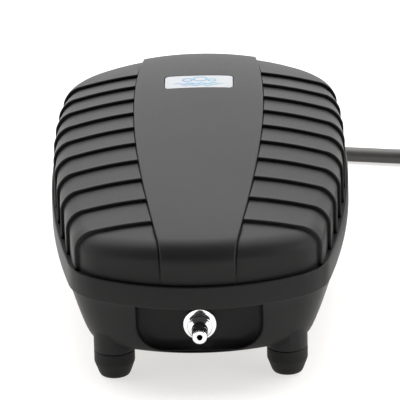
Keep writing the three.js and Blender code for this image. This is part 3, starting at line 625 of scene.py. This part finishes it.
def pocket_outline(grow):
    """Points in X and Z down the left of the pocket, along its floor and up its right, with
    their outward normals."""
    half, floor, r, side_top = (POCKET[k] for k in ("half", "floor", "corner", "side_top"))
    made = [(-half - grow, BASE_TOP, -1, 0), (-half - grow, side_top, -1, 0)]
    for centre_x, start in ((-half + r, math.pi), (half - r, 1.5 * math.pi)):
        for i in range(9):
            a = start + math.pi / 2 * i / 8
            nx, nz = math.cos(a), math.sin(a)
            made.append((centre_x + (r + grow) * nx, floor + r + (r + grow) * nz, nx, nz))
    made += [(half + grow, side_top, 1, 0), (half + grow, BASE_TOP, 1, 0)]
    return made


def pocket_tool(grow, rear, fillet=0, scoop=0):
    """The pocket's space. A fillet rounds its mouth along the front wall, and a scoop rounds the
    corner between its sides and its rear wall."""
    def front(x, z):
        r = FRONT_R - base_inset(max(z, BASE_LEVELS[0][0]))
        return ARCS[0][1] - math.sqrt(r * r - x * x)
    outline = pocket_outline(grow)
    turns = [math.radians(18 * i) for i in range(6)] if fillet else [math.pi / 2]
    rings = [[(x + nx * fillet, -LENGTH, z + nz * fillet) for x, z, nx, nz in outline]]
    for t in turns:
        ring = []
        for x, z, nx, nz in outline:
            out = fillet * (1 - math.sin(t))
            px, pz = x + nx * out, z + nz * out
            ring.append((px, front(px, pz) - 0.02 + fillet * (1 - math.cos(t)), pz))
        rings.append(ring)
    for t in (math.radians(15 * i) for i in range(7)):
        draw = scoop * (1 - math.cos(t))
        y = rear - scoop * (1 - math.sin(t))
        rings.append([(x - nx * draw, y, z - nz * draw) for x, z, nx, nz in outline])
    cap = lambda ring: [(0, ring[0][1], 30)] * (len(ring) + 1)
    body = [closed(ring) for ring in rings]
    return from_grids("pocket", [[cap(rings[0]), *body, cap(rings[-1])]])


def lower_blank():
    """The base with its tongue, legs and hollow, and the wall round the pocket's space."""
    body = plan_body("lower_shell", softened(BASE_LEVELS))
    tongue = plan_body("tongue", TONGUE_LEVELS)
    legs = [rod("z", LEG_R, LEG_SEAM, LEG_TOP, x, y, 48) for x, y in CORNERS.values()]
    combined(body, [tongue, *legs], "UNION")
    hollow = plan_body("hollow", HOLLOW_LEVELS)
    combined(hollow, [pocket_tool(BASE_WALL, POCKET["wall"] + BASE_WALL)], "DIFFERENCE")
    return combined(body, [hollow], "DIFFERENCE")


def pocket_ceiling():
    """A lid over the pocket, inside the tongue."""
    wide, rear = POCKET["half"] + BASE_WALL, POCKET["wall"] + BASE_WALL
    lid = block((-wide, wide), (-LENGTH, rear), (BASE_TOP - 1, POCKET["ceiling"]))
    inset, top = TONGUE_LEVELS[0][1], TONGUE_LEVELS[-1][0]
    room = plan_body("room", [(BASE_TOP - 2, inset), (top, inset)])
    return combined(lid, [room], "INTERSECT")


def floor_parts():
    """What stands on the base's floor, and the strain relief's boss at its rear wall."""
    foot, wall = FLOOR_Z - 1, FILTER["wall"]
    bosses = [rod("z", BASE_BOSS["r"], foot, BASE_BOSS["high"], x, y) for x, y in CORNERS.values()]
    posts = [rod("z", DAMPER_POST["r"], foot, DAMPER_POST["high"], x, y) for x, y in DAMPERS]
    half = FILTER["half"] + wall
    filter_frame = block((-half, half), (FILTER["front"] - wall, FILTER["rear"] + wall),
                         (foot, FILTER["frame_high"]))
    saddle = block((LEAD_X - SADDLE["half"], LEAD_X + SADDLE["half"]),
                   (SADDLE["front"], SADDLE["rear"]), (foot, SADDLE["high"]))
    r, start, end = (RELIEF_BOSS[k] for k in ("r", "start", "end"))
    profile = rounded([(0, start), (r, start), (r, end), (0, end)], [0, 0, 0.7, 0])
    relief_boss = lathe("boss", profile, "y", (LEAD_X, 0, LEAD_Z), 48)
    return [*bosses, *posts, filter_frame, saddle, relief_boss]


def base_openings():
    """The pocket and every hole in the base."""
    sockets = [rod("z", SOCKET["r"], 0, SOCKET["high"], x, y) for x, y in CORNERS.values()]
    bores = [rod("z", SCREW_BORE_R, *BASE_BOSS["bore"], x, y) for x, y in CORNERS.values()]
    half = FILTER["half"]
    filter_opening = block((-half, half), (FILTER["front"], FILTER["rear"]), (0, FILTER["open_high"]))
    nozzle_hole = rod("y", NOZZLE_HOLE_R, -LENGTH, NOZZLE_HOLE_END, 0, NOZZLE_Z)
    start = RELIEF_HOLE["start"]
    relief_hole = rod("y", RELIEF_HOLE["r"], start, LENGTH, LEAD_X, LEAD_Z)
    relief_seat = rod("y", RELIEF_HOLE["seat_r"], start, RELIEF_HOLE["seat_end"], LEAD_X, LEAD_Z)
    pocket = pocket_tool(0, POCKET["wall"], POCKET["fillet"], POCKET["scoop"])
    return [pocket, *sockets, *bores, filter_opening, nozzle_hole, relief_hole, relief_seat]


def lower_shell():
    body = lower_blank()
    combined(body, [pocket_ceiling()], "UNION")
    combined(body, floor_parts(), "UNION")
    return combined(body, base_openings(), "DIFFERENCE")


# ---------------------------------------------------------------- materials
class Tree:
    """Adds nodes to a node tree with their inputs set or linked by name."""

    def __init__(self, tree):
        self.tree = tree
        tree.nodes.clear()

    def add(self, kind, settings=None, **inputs):
        node = self.tree.nodes.new(kind)
        for key, value in (settings or {}).items():
            setattr(node, key, value)
        for key, value in inputs.items():
            self.put(node.inputs[key.replace("_", " ")], value)
        return node

    def put(self, socket, value):
        if isinstance(value, bpy.types.NodeSocket):
            self.tree.links.new(value, socket)
        else:
            socket.default_value = value

    def place(self, stretch=None):
        """Coordinates fixed to the piece, stretched if asked."""
        place = self.add("ShaderNodeTexCoord").outputs["Object"]
        if stretch is None:
            return place
        return self.add("ShaderNodeMapping", Vector=place, Scale=stretch).outputs["Vector"]

    def spread(self, value, to, source=(0, 1), smooth=False):
        """Maps a value from the range source to the range to."""
        node = self.add("ShaderNodeMapRange", Value=value)
        if smooth:
            node.interpolation_type = "SMOOTHSTEP"
        for key, number in zip(("From Min", "From Max", "To Min", "To Max"), (*source, *to)):
            node.inputs[key].default_value = number
        return node.outputs["Result"]

    def math(self, operation, a, b):
        node = self.tree.nodes.new("ShaderNodeMath")
        node.operation = operation
        for socket, value in zip(node.inputs, (a, b)):
            self.put(socket, value)
        return node.outputs[0]

    def noise(self, scale, detail=2.0, place=None):
        place = place or self.place()
        return self.add("ShaderNodeTexNoise", Vector=place, Scale=scale, Detail=detail).outputs["Fac"]

    def ramp(self, value, *stops):
        node = self.add("ShaderNodeValToRGB", Fac=value)
        while len(node.color_ramp.elements) < len(stops):
            node.color_ramp.elements.new(0.5)
        for element, (place, colour) in zip(node.color_ramp.elements, stops):
            element.position = place
            element.color = (*colour, 1) if isinstance(colour, tuple) else (colour,) * 3 + (1,)
        return node.outputs["Color"]


def surface(name, build, **shader):
    """A material with a Principled shader. build adds what varies and returns its sockets."""
    made = bpy.data.materials.new(name)
    made.use_nodes = True
    tree = Tree(made.node_tree)
    varied = build(tree)
    principled = tree.add("ShaderNodeBsdfPrincipled", **shader, **varied)
    output = tree.add("ShaderNodeOutputMaterial")
    tree.tree.links.new(principled.outputs[0], output.inputs["Surface"])
    return made


def moulded(name, dark, light, grain=1500, depth=0.00002, rough=(0.42, 0.6), **shader):
    """Moulded plastic or rubber: fine spark-eroded grain, faint cloudiness, and a painted highlight that
    makes convex edges paler.
    """
    def build(tree):
        clouds = tree.noise(22, 3)
        specks = tree.noise(grain, 2)
        colour = tree.ramp(clouds, (0.3, dark), (0.7, light))
        # painted highlight: convex edges, found by their pointiness, are mixed towards a paler colour
        edges = tree.ramp(tree.add("ShaderNodeNewGeometry").outputs["Pointiness"], (0.5, 0.0), (0.62, 0.5))
        painted_edge_highlight = tree.add("ShaderNodeMix", dict(data_type="RGBA"))
        tree.tree.links.new(edges, painted_edge_highlight.inputs["Factor"])
        tree.tree.links.new(colour, painted_edge_highlight.inputs["A"])
        painted_edge_highlight.inputs["B"].default_value = (*[min(1, c * 1.8) for c in light], 1)
        bump = tree.add("ShaderNodeBump", Strength=0.35, Distance=depth, Height=specks)
        return dict(Base_Color=painted_edge_highlight.outputs["Result"], Roughness=tree.spread(specks, rough),
                    Normal=bump.outputs["Normal"])
    return surface(name, build, **shader)


def metal(name, colour, rough=(0.05, 0.1), grain=300, stretch=(1, 1, 1), depth=0.000004):
    """Bare or plated metal with faint drawn marks."""
    def build(tree):
        marks = tree.noise(grain, 3, tree.place(stretch))
        tone = tree.ramp(marks, (0.2, tuple(c * 0.88 for c in colour)), (0.8, colour))
        bump = tree.add("ShaderNodeBump", Strength=0.2, Distance=depth, Height=marks)
        return dict(Base_Color=tone, Roughness=tree.spread(marks, rough), Normal=bump.outputs["Normal"])
    return surface(name, build, Metallic=1.0)


def banded(name, dark, light, direction, bands, metallic, rough, depth):
    """Fine parallel bands along one axis, such as wound wire or stacked sheets."""
    def build(tree):
        wave = tree.add("ShaderNodeTexWave", dict(wave_type="BANDS", bands_direction=direction),
                        Vector=tree.place(), Scale=bands, Distortion=0.4, Detail=1.0).outputs["Fac"]
        bump = tree.add("ShaderNodeBump", Strength=0.6, Distance=depth, Height=wave)
        clouds = tree.ramp(tree.noise(160, 2), (0.3, rough[0]), (0.7, rough[1]))
        return dict(Base_Color=tree.ramp(wave, (0.1, dark), (0.7, light)), Roughness=clouds,
                    Normal=bump.outputs["Normal"])
    return surface(name, build, Metallic=metallic)


def felted(name, dark, light):
    """Pressed wool: matted fibres with a soft, uneven face."""
    def build(tree):
        fibres = tree.noise(2600, 4, tree.place((1, 0.35, 1)))
        tufts = tree.noise(420, 3)
        height = tree.math("ADD", fibres, tree.math("MULTIPLY", tufts, 1.5))
        bump = tree.add("ShaderNodeBump", Strength=0.8, Distance=0.0003, Height=height)
        return dict(Base_Color=tree.ramp(fibres, (0.3, dark), (0.7, light)),
                    Normal=bump.outputs["Normal"])
    return surface(name, build, Roughness=0.95, Sheen_Weight=0.4)


def label_foil():
    """Brushed pale label foil, with broad faint bands where it was drawn."""
    def build(tree):
        marks = tree.noise(2200, 3, tree.place((0.06, 1, 1)))
        bump = tree.add("ShaderNodeBump", Strength=0.15, Distance=0.00001, Height=marks)
        return dict(Base_Color=tree.ramp(marks, (0.25, (0.27, 0.28, 0.295)), (0.75, (0.31, 0.32, 0.335))),
                    Roughness=tree.spread(marks, (0.28, 0.42)), Normal=bump.outputs["Normal"])
    return surface("label_foil", build, Metallic=0.15)


def mark_ink():
    """Pale blue ink that turns to teal from left to right."""
    def build(tree):
        split = tree.add("ShaderNodeSeparateXYZ", Vector=tree.place())
        across = tree.spread(split.outputs["X"], (0, 1), (-0.01, 0.01))
        speckled = tree.math("ADD", across, tree.math("MULTIPLY", tree.noise(900), 0.1))
        return dict(Base_Color=tree.ramp(speckled, (0.1, (0.05, 0.16, 0.34)), (0.95, (0.06, 0.24, 0.3))))
    return surface("mark_ink", build, Roughness=0.4)


def all_materials():
    return {
        "housing_plastic": moulded(
            "grained_plastic", (0.0105, 0.0105, 0.0106), (0.014, 0.014, 0.0141), rough=(0.36, 0.52),
            Specular_IOR_Level=0.15),
        "rubber": moulded(
            "matt_rubber", (0.008, 0.008, 0.008), (0.012, 0.0118, 0.0115), rough=(0.5, 0.7),
            Specular_IOR_Level=0.2),
        "lead_rubber": moulded(
            "lead_rubber", (0.04, 0.039, 0.037), (0.05, 0.048, 0.045), rough=(0.4, 0.55)),
        "chrome": metal("chrome_plate", (0.9, 0.91, 0.92)),
        "badge_foil": label_foil(),
        "mark_ink": mark_ink(),
        "steel": metal("zinc_plate", (0.55, 0.56, 0.57), (0.25, 0.4), 900, (1, 1, 0.2)),
        "dark_plastic": moulded(
            "glass_filled_plastic", (0.02, 0.022, 0.026), (0.035, 0.037, 0.042), 900, 0.00004),
        "pale_plastic": moulded("natural_nylon", (0.52, 0.49, 0.42), (0.62, 0.59, 0.52), 700, 0.00002),
        "brass": metal("turned_brass", (0.72, 0.53, 0.25), (0.15, 0.3), 700, (1, 0.15, 1)),
        "copper": banded("wound_wire", (0.2, 0.06, 0.025), (0.66, 0.27, 0.12), "X", 785, 0.9,
                         (0.25, 0.4), 0.00012),
        "sheets": banded("stacked_sheets", (0.08, 0.08, 0.085), (0.4, 0.41, 0.42), "Z", 628, 1.0,
                         (0.3, 0.5), 0.00006),
        "ferrite": metal("ground_ferrite", (0.085, 0.085, 0.09), (0.35, 0.55), 1100, (1, 1, 0.2)),
        "felt": felted("pressed_felt", (0.4, 0.37, 0.31), (0.62, 0.58, 0.5)),
    }


# ---------------------------------------------------------------- camera, stage and light
VIEW = dict(pitch=22, yaw=-0.88, roll=-1.49, target=(-0.05, 0, 44.58), distance=2200, lens=446.1)
OVERHEAD = dict(y=0.95, z=1.6, size=(3.4, 2.4), power=80)
SIDE_LIGHTS = (("side_right", 1.5, 9), ("side_left", -1.5, 4))  # name, x, power
SIDE = dict(y=-0.5, z=0.5, aim=(0, 0, 0.04), size=(1.0, 0.9))
# painted light: the floor glows, more strongly in front of the pump, so its shadow under and in front of
# the pump stays pale
FLOOR_GLOW = dict(y=(-0.27, -0.16), strength=(0.95, 0.66))  # its strength falls between two places
WORLD = dict(y=(-0.35, 0.35), strength=(0.05, 1.65), seen=1.2)  # seen is what the camera sees
FLOOR_HALF, FLOOR_LEVEL = 12000, -0.02


def add_camera():
    pitch, yaw, roll = (math.radians(VIEW[k]) for k in ("pitch", "yaw", "roll"))
    ahead = Vector((math.sin(yaw) * math.cos(pitch), math.cos(yaw) * math.cos(pitch), -math.sin(pitch)))
    right = Vector((math.cos(yaw), -math.sin(yaw), 0))
    up = right.cross(ahead)
    x = right * math.cos(roll) + up * math.sin(roll)
    y = up * math.cos(roll) - right * math.sin(roll)
    camera = bpy.data.cameras.new("camera")
    camera.lens, camera.sensor_width = VIEW["lens"], 36
    camera.clip_start, camera.clip_end = 0.05, 60
    eye = new_object("camera", camera)
    turn = Matrix((x, y, -ahead)).transposed().to_4x4()
    place = (Vector(VIEW["target"]) - ahead * VIEW["distance"]) * MM
    eye.matrix_world = Matrix.Translation(place) @ turn
    bpy.context.scene.camera = eye


def add_light(name, place, aim, size, power):
    light = bpy.data.lights.new(name, "AREA")
    light.shape, light.size, light.size_y = "RECTANGLE", *size
    light.energy = power
    lamp = new_object(name, light)
    lamp.location = place
    lamp.rotation_euler = (Vector(aim) - Vector(place)).to_track_quat("-Z", "Y").to_euler()


def add_world():
    """White for the camera. As light it is bright behind the pump and dim in front of it."""
    world = bpy.data.worlds.new("studio")
    bpy.context.scene.world = world
    world.use_nodes = True
    tree = Tree(world.node_tree)
    direction = tree.add("ShaderNodeTexCoord").outputs["Generated"]
    split = tree.add("ShaderNodeSeparateXYZ", Vector=direction)
    glow = tree.spread(split.outputs["Y"], WORLD["strength"], WORLD["y"], smooth=True)
    light = tree.add("ShaderNodeBackground", Color=(1, 1, 1, 1), Strength=glow)
    seen = tree.add("ShaderNodeBackground", Color=(1, 1, 1, 1), Strength=WORLD["seen"])
    path = tree.add("ShaderNodeLightPath").outputs["Is Camera Ray"]
    mix = tree.add("ShaderNodeMixShader", Fac=path)
    tree.tree.links.new(light.outputs[0], mix.inputs[1])
    tree.tree.links.new(seen.outputs[0], mix.inputs[2])
    tree.tree.links.new(mix.outputs[0], tree.add("ShaderNodeOutputWorld").inputs["Surface"])


def stage_floor():
    def build(tree):
        tone = tree.ramp(tree.noise(0.8, 1), (0.3, (0.36, 0.358, 0.354)), (0.7, (0.38, 0.378, 0.374)))
        split = tree.add("ShaderNodeSeparateXYZ", Vector=tree.place())
        # painted light: the glow lightens the pump's shadow on the floor, most of all in front of the pump
        glow = tree.spread(split.outputs["Y"], FLOOR_GLOW["strength"], FLOOR_GLOW["y"], smooth=True)
        return dict(Base_Color=tone, Emission_Strength=glow)
    return surface("floor_paper", build, Roughness=0.9, Emission_Color=(1, 0.98, 0.955, 1))


def add_stage():
    ends = (-FLOOR_HALF, FLOOR_HALF)
    floor = from_grids("floor", [[[(x, y, FLOOR_LEVEL) for x in ends] for y in ends]])
    if floor.data.polygons[0].normal.z < 0:
        floor.data.flip_normals()
    floor.data.materials.append(stage_floor())
    add_light("overhead", (0, OVERHEAD["y"], OVERHEAD["z"]), (0, OVERHEAD["y"], 0), OVERHEAD["size"],
              OVERHEAD["power"])
    for name, x, power in SIDE_LIGHTS:
        add_light(name, (x, SIDE["y"], SIDE["z"]), SIDE["aim"], SIDE["size"], power)


# ---------------------------------------------------------------- the pieces
def finished(piece, material, slot, body, *nodes):
    piece.data.materials.clear()
    piece.data.materials.append(material)
    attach(piece, body)
    if nodes:
        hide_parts(*nodes)
    return piece


FOOT_PROFILE = rounded(
    [(0, 0), (6.2, 0), (6.9, 1.2), (8.8, 6.4), (8.8, 11.7), (3.6, 11.7), (3.6, 17.5), (0, 17.5)],
    [0, 0.5, 0.4, 0.5, 0.4, 0, 0.6, 0],
)
NOZZLE_PROFILE = rounded(
    [(1.2, -112.3), (2.9, -112.3), (3.3, -111.6), (3.3, -110.4), (2.45, -109.8), (2.45, -108.9),
     (3.4, -107.5), (3.4, -106.9), (2.55, -106.5), (2.55, -105.6), (3.5, -104.1), (3.5, -103.5),
     (2.7, -103.1), (2.7, -102.4), (4.8, -101.8), (5.3, -101.4), (5.3, -98.5), (7.1, -98.5), (7.1, -97.3),
     (3.9, -97.3), (3.9, -89), (2.2, -88.4), (2.2, -84.5), (1.2, -84.5)],
    [0.3, 0.35, 0.35, 0.2, 0.3, 0.3, 0.2, 0.1, 0.3, 0.3, 0.2, 0.1, 0.2, 0.3, 0.3, 0.2, 0.1, 0.3,
     0.1, 0, 0.2, 0.2, 0.1, 0.1],
)
DIAPHRAGM_AT = (0, -37, 45.5)
DIAPHRAGM_PROFILE = rounded(  # radius, and distance from the housing's middle
    [(0, 22.3), (15.3, 22.3), (15.3, 17), (17.3, 17), (17.3, 23.1), (14.4, 24.2), (12, 23.5),
     (8.5, 24.2), (7, 27), (1.9, 27), (1.9, 23.8), (0, 23.8)],
    [0, 0.5, 0, 0.5, 0.7, 1.2, 1.6, 1.2, 0.6, 0.3, 0, 0],
)


def add_feet(rubber):
    for name, (x, y) in CORNERS.items():
        foot = smooth(lathe(f"foot_{name}", FOOT_PROFILE, "z", (x, y, 0)), 50)
        finished(foot, rubber, "rubber", "housing", f"rubber_foot_{name}")


def add_nozzle(chrome):
    closed_profile = NOZZLE_PROFILE + NOZZLE_PROFILE[:1]
    nozzle = smooth(lathe("hose_nozzle", closed_profile, "y", (0, 0, NOZZLE_Z), 96), 40)
    finished(nozzle, chrome, "chrome", "housing", "outlet_nozzle")


# ---------------------------------------------------------------- mains lead
def coil_points(per_turn=18):
    """Turns of the coil: in each layer they lie beside each other, and a layer lies on the last.
    The lead moves on by one place about once a turn."""
    outer, middle, inner = COIL["radii"]
    places = []
    for layer in range(COIL_LAYERS):
        row = (outer, middle, inner) if layer % 2 == 0 else (inner, middle, outer)
        places += [(r, COIL["low"] + LEAD_D * layer) for r in row]
    starts = []
    at = COIL_MOVES["first"]
    for k in range(len(places) - 1):
        starts.append(at)
        at += 1 - (0 if k % 3 == 0 else COIL_MOVES["less"])
    made = []
    count = round(COIL["turns"] * per_turn)
    for i in range(count + 1):
        n = COIL["turns"] * i / count
        r, z = places[0]
        for k, start in enumerate(starts):
            t = min(1, max(0, (n - start) / COIL_MOVES["length"]))
            ease = t * t * (3 - 2 * t)
            r += (places[k + 1][0] - places[k][0]) * ease
            z += (places[k + 1][1] - places[k][1]) * ease
        a = math.radians(COIL["start"]) - 2 * math.pi * n
        made.append((COIL["x"] + r * math.cos(a), COIL["y"] + r * math.sin(a), z))
    return made


def add_lead(rubber, pieces):
    points = LEAD_ROUTE + coil_points() + END_ROUTE
    curve = bpy.data.curves.new("mains_lead", "CURVE")
    curve.dimensions, curve.resolution_u = "3D", 6
    curve.bevel_depth, curve.bevel_resolution = LEAD_D / 2 * MM, 6
    curve.use_fill_caps = True
    spline = curve.splines.new("BEZIER")
    spline.bezier_points.add(len(points) - 1)
    for knot, point in zip(spline.bezier_points, points):
        knot.co = Vector(point) * MM
        knot.handle_left_type = knot.handle_right_type = "AUTO"
    lead = new_object("mains_lead", curve)
    finished(lead, rubber, "rubber", "housing", "power_cord", "power_cord_coil", "power_cord_end")


RELIEF_PROFILE = rounded(
    [(3.85, 100), (6.6, 100), (6.6, 102.6), (4.9, 102.6), (4.9, 107.8), (6.9, 107.8), (6.9, 109.9),
     (6.1, 110.7), (5.95, 111.7), (5, 111.7), (4.95, 112.6), (5.75, 112.6), (5.6, 114.2),
     (4.85, 114.2), (4.8, 115.1), (5.5, 115.1), (5.3, 116.7), (4.7, 116.7), (4.65, 117.6),
     (5.2, 117.6), (5.05, 119.2), (4.5, 119.2), (4.5, 120.1), (5, 120.1), (4.7, 124), (3.85, 124)],
    [0, 0.3, 0.3, 0, 0.2, 0.5, 0.4, 0.2] + [0.15] * 16 + [0.4, 0.2],
)
PLUG_STATIONS = [  # distance from the tail, half width, half height, squareness
    (0, 4.4, 4.4, 2), (0.5, 4.9, 4.9, 2), (3, 5.3, 5.3, 2), (3.4, 4.7, 4.7, 2), (4.2, 4.7, 4.7, 2),
    (4.6, 5.6, 5.6, 2), (6.6, 5.9, 5.9, 2), (7, 5.2, 5.2, 2), (7.8, 5.2, 5.2, 2), (8.2, 6.3, 6.2, 2.1),
    (11, 7.2, 7, 2.2), (15, 9.2, 8.2, 2.4), (19, 12.2, 9.6, 2.7), (22, 14.6, 10.7, 3),
    (24, 15.8, 11.3, 3.1), (24.4, 15.3, 11.3, 3.1), (25.6, 15.5, 11.5, 3.1), (26, 16.6, 11.7, 3.2),
    (28, 17.4, 12, 3.2), (28.4, 16.8, 12, 3.2), (29.6, 17, 12.1, 3.2), (30, 18, 12.3, 3.3),
    (33, 18.4, 12.7, 3.4), (41.6, 18.4, 12.8, 3.6), (42.4, 18.2, 12.6, 3.6), (42.9, 17.6, 12, 3.6),
    (43, 16.8, 11.2, 3.6), (42.6, 16, 10.4, 3.4), (42.6, 0, 0, 2),
]
PIN_PROFILE = rounded(
    [(0, -56.3), (2.4, -56.3), (2.4, -38.4), (3.2, -38.4), (3.2, -36.8), (0, -36.8)],
    [0, 1.6, 0.2, 0.3, 0, 0],
)


def plug_body(sides=64):
    rows = []
    for along, half_x, half_z, square in [(0, 0, 0, 2)] + PLUG_STATIONS:
        power = 2 / square
        row = []
        for i in range(sides):
            a = 2 * math.pi * i / sides
            c, s = math.cos(a), math.sin(a)
            row.append((PLUG["x"] + half_x * math.copysign(abs(c) ** power, c), PLUG["tail"] - along,
                        PLUG["z"] + half_z * math.copysign(abs(s) ** power, s)))
        rows.append(closed(row))
    return from_grids("mains_plug", [rows])


def tie_band():
    """A flat strap round the coil's section, with its end lapped over the top."""
    x_middle = COIL["x"] + COIL["radii"][1]
    half_z, z_middle = (TIE["high"] - TIE["low"]) / 2, (TIE["high"] + TIE["low"]) / 2
    r = TIE["corner"]
    loop = []
    for k, (sx, sz) in enumerate(((1, 1), (-1, 1), (-1, -1), (1, -1))):
        for i in range(9):
            a = math.pi / 2 * (k + i / 8)
            loop.append((sx * (TIE["half_x"] - r), sz * (half_z - r), math.cos(a), math.sin(a)))
    wide = TIE["half_wide"]
    rows = []
    for x, z, nx, nz in loop:
        lapped = nz > 0.98 and x < 0 or nx < -0.2 and nz > 0
        thick = TIE["thick"] * (TIE["lapped"] if lapped else 1)
        section = [(0, -wide + 0.2), (0, wide - 0.2), (0.2, wide), (thick - 0.2, wide),
                   (thick, wide - 0.2), (thick, 0.2 - wide), (thick - 0.2, -wide), (0.2, -wide)]
        rows.append(closed([
            (x_middle + x + nx * (r + out), COIL["y"] + y, z_middle + z + nz * (r + out))
            for out, y in section
        ]))
    return from_grids("coil_tie", [closed(rows)])


def add_lead_pieces(rubber, chrome):
    relief = lathe("lead_strain_relief", closed(RELIEF_PROFILE), "y", (LEAD_X, 0, LEAD_Z), 64)
    finished(smooth(relief, 40), rubber, "rubber", "housing", "strain_relief")
    finished(smooth(tie_band(), 40), rubber, "rubber", "housing", "cord_tie")
    finished(smooth(plug_body(), 40), rubber, "rubber", "housing", "plug_body")
    for side, sign in (("left", -1), ("right", 1)):
        place = (PLUG["x"] + sign * PLUG["pin"], 0, PLUG["z"])
        pin = smooth(lathe(f"plug_{side}_contact", PIN_PROFILE, "y", place, 32), 40)
        finished(pin, chrome, "chrome", "housing", f"plug_pin_{side}")
    return ["lead_strain_relief", "coil_tie", "mains_plug", "plug_left_contact", "plug_right_contact"]


def finish_cad_nodes(looks):
    """Gives each CAD node that still shows its material and softly rounded edges."""
    special = {"core_laminations": "sheets"}  # a look of its own, not its slot's
    slots = {row["node"]: row["material_slot"] for row in frame["record"]["subparts"]}
    for name, node in NODES.items():
        if node.hide_render:
            continue
        node.data.materials.clear()
        node.data.materials.append(looks[special.get(name, slots[name])])
        edges = node.modifiers.new("edges", "BEVEL")
        edges.width, edges.segments = EDGE_BEVEL * MM, 2
        edges.limit_method, edges.angle_limit = "ANGLE", math.radians(40)
        edges.use_clamp_overlap = True


def add_diaphragms(rubber):
    """Rubber diaphragms, one on each side: the rim sits on the valve body, and the middle on the arm's
    boss, whose outer face is 27 mm from the housing's middle."""
    for side, sign in (("left", -1), ("right", 1)):
        profile = [(r, sign * x) for r, x in DIAPHRAGM_PROFILE]
        cup = smooth(lathe(f"{side}_rubber_diaphragm", profile, "x", DIAPHRAGM_AT, 48), 40)
        cup.data.materials.append(rubber)
        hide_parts(f"{side}_diaphragm")
        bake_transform(cup)


def build():
    looks = all_materials()
    plastic, rubber = looks["housing_plastic"], looks["rubber"]
    finished(smooth(cover_shell()), plastic, "housing_plastic", "housing", "upper_cover")
    finished(smooth(lower_shell(), 30), plastic, "housing_plastic", "housing", "lower_housing")
    badge = badge_body("badge_plate", 0, BADGE["top"] - BADGE["thick"], BADGE["top"], 0.25)
    finished(smooth(badge, 40), looks["badge_foil"], "badge_foil", "housing", "name_badge")
    finished(smooth(badge_mark(), 40), looks["mark_ink"], "badge_foil", "housing")
    add_feet(rubber)
    add_nozzle(looks["chrome"])
    add_lead(looks["lead_rubber"], add_lead_pieces(rubber, looks["chrome"]))
    add_diaphragms(rubber)
    finish_cad_nodes(looks)


bpy.context.scene.view_settings.view_transform = "Standard"
add_camera()
add_world()
add_stage()
build()
